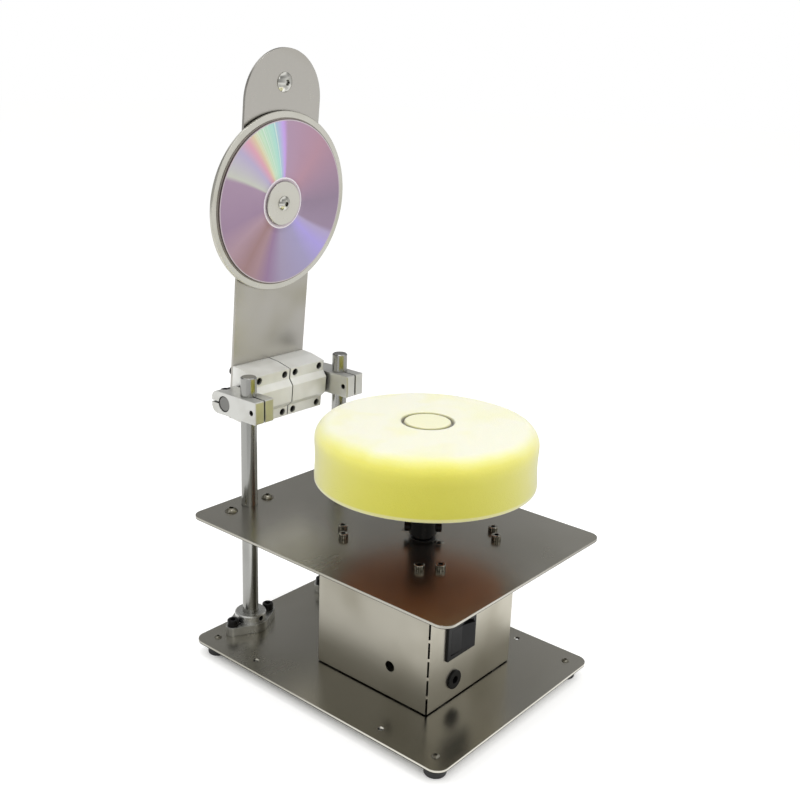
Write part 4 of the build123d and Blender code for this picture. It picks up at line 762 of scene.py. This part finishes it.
def floor_finish():
    """White paper: it takes the shadow, is nearly white where it is seen straight or in metal, and
    has a painted shadow under the base plate, seen straight and in metal."""
    material, tree, shader, place = blank("white_paper")
    settle(shader, Base_Color=(0.88, 0.88, 0.87, 1), Roughness=1.0, Specular_IOR_Level=0.0)
    path = add(tree, "LightPath").outputs
    # Painted shadow: no glow, and a dark floor in metal, under the base plate.
    under = shadow_under_base(tree, place)
    lift = maths(tree, "MULTIPLY", path["Is Camera Ray"], ranged(tree, under, FLOOR_LIFT, 0.0))
    glow = add(tree, "Emission", {"Color": WHITE, "Strength": lift}).outputs[0]
    straight = add(tree, "AddShader", {0: shader.outputs[0], 1: glow}).outputs[0]
    apart = add(tree, "VectorMath", {0: place}, operation="LENGTH").outputs["Value"]
    share = maths(tree, "MULTIPLY", apart, 1 / FLOOR_REACH)
    level = ramp(tree, share, [(distance / FLOOR_REACH, grey(value)) for distance, value in FLOOR])
    back = split(tree, place)["Y"]
    behind = between(tree, back, -0.10, 0.04, interpolation_type="SMOOTHSTEP")
    level = mixed(tree, behind, level, FLOOR_BEHIND)
    level = mixed(tree, under, level, FLOOR_SHADOW)
    mirrored = add(tree, "Emission", {"Color": level, "Strength": FLOOR_STRENGTH}).outputs[0]
    choice = add(tree, "MixShader", {0: path["Is Glossy Ray"], 1: straight, 2: mirrored})
    feed(tree, tree.nodes["Material Output"], {"Surface": choice.outputs[0]})
    return material


def room_finish():
    """Soft grey room that only metal sees: its level changes slowly round the horizon, sinks a
    little above it and turns white overhead."""
    material, tree, shader, place = blank("grey_room")
    tree.nodes.remove(shader)
    about = use(tree, ABOUT, Vector=place)
    height = about["Height"]
    level = ramp(tree, about["Share"], [(angle / 360, grey(value)) for angle, value in ROOM])
    sink = between(tree, height, 1.0, 1.5, interpolation_type="SMOOTHSTEP")
    dimmed = {0: level, "Scale": ranged(tree, sink, 1.0, 0.6)}
    level = add(tree, "VectorMath", dimmed, operation="SCALE").outputs[0]
    overhead = between(tree, height, 1.9, ROOM_HEIGHT, interpolation_type="SMOOTHSTEP")
    glow = add(tree, "Emission", {"Color": mixed(tree, overhead, level, WHITE), "Strength": 1.0})
    feed(tree, tree.nodes["Material Output"], {"Surface": glow.outputs[0]})
    return material


def stage_piece(name, points, faces, material):
    """A piece of the studio, which isn't part of the object."""
    piece = shape(name, np.array(points, float), faces)
    piece.data.materials.append(material)
    return piece


def surroundings():
    """A world that lights the object evenly, and is white where it is seen straight or in metal."""
    world = bpy.data.worlds.new("studio")
    bpy.context.scene.world = world
    world.use_nodes = True
    tree = world.node_tree
    ambient = tree.nodes["Background"]
    feed(tree, ambient, {"Color": WHITE, "Strength": WORLD_STRENGTH})
    white = add(tree, "Background", {"Color": WHITE, "Strength": 1.0})
    path = add(tree, "LightPath").outputs
    seen = maths(tree, "MAXIMUM", path["Is Camera Ray"], path["Is Glossy Ray"])
    seen = maths(tree, "MAXIMUM", seen, path["Is Transmission Ray"])
    mix = add(tree, "MixShader", {0: seen, 1: ambient.outputs[0], 2: white.outputs[0]})
    feed(tree, tree.nodes["World Output"], {"Surface": mix.outputs[0]})


def studio():
    """Floor, a round wall at radius R of (R cos t, R sin t), white surroundings and soft lamps."""
    corners = [(-9, -9, 0), (9, -9, 0), (9, 9, 0), (-9, 9, 0)]
    stage_piece("floor", corners, [(0, 1, 2, 3)], floor_finish())
    steps = 72
    t = headings(steps)
    ring = np.stack([ROOM_RADIUS * np.cos(t), ROOM_RADIUS * np.sin(t), 0 * t], -1)
    i, j = np.arange(steps), (np.arange(steps) + 1) % steps
    walls = np.stack([i, i + steps, j + steps, j], -1).tolist()
    room = stage_piece("room", np.vstack([ring, ring + (0, 0, ROOM_HEIGHT)]), walls, room_finish())
    for ray in ("camera", "diffuse", "shadow", "transmission"):
        setattr(room, "visible_" + ray, False)
    surroundings()
    for name, place, size, power, mirrored in LAMPS:
        lamp = bpy.data.lights.new(name, "AREA")
        lamp.size = size
        lamp.energy = power
        holder = bpy.data.objects.new(name, lamp)
        holder.location = place
        holder.visible_glossy = mirrored
        holder.rotation_euler = (LAMP_AIM - Vector(place)).to_track_quat("-Z", "Y").to_euler()
        bpy.context.scene.collection.objects.link(holder)


# ---------------------------------------------------------------- camera
CAMERA_PLACE = (-0.53701, -0.45773, 0.43113)
CAMERA_ANGLES = (-50.268, 17.429, 2.069)
SENSOR, LENS, SHIFT = 36.0, 47.14, (0.00118, -0.00429)


def camera():
    """The camera, from where it stands, its heading, its tilt and its slight roll."""
    azimuth, elevation, roll = (radians(angle) for angle in CAMERA_ANGLES)
    back = Vector((sin(azimuth) * cos(elevation), -cos(azimuth) * cos(elevation), sin(elevation)))
    level = Vector((cos(azimuth), sin(azimuth), 0))
    upright = back.cross(level)
    right = level * cos(roll) + upright * sin(roll)
    up = upright * cos(roll) - level * sin(roll)
    lens = bpy.data.cameras.new("camera")
    lens.sensor_width = SENSOR
    lens.lens = LENS
    lens.shift_x, lens.shift_y = SHIFT
    lens.clip_start = 0.01
    holder = bpy.data.objects.new("camera", lens)
    turn = Matrix((right, up, back)).transposed().to_4x4()
    holder.matrix_world = Matrix.Translation(CAMERA_PLACE) @ turn
    bpy.context.scene.collection.objects.link(holder)
    bpy.context.scene.camera = holder


studio()
camera()
bpy.context.scene.view_settings.view_transform = "Standard"
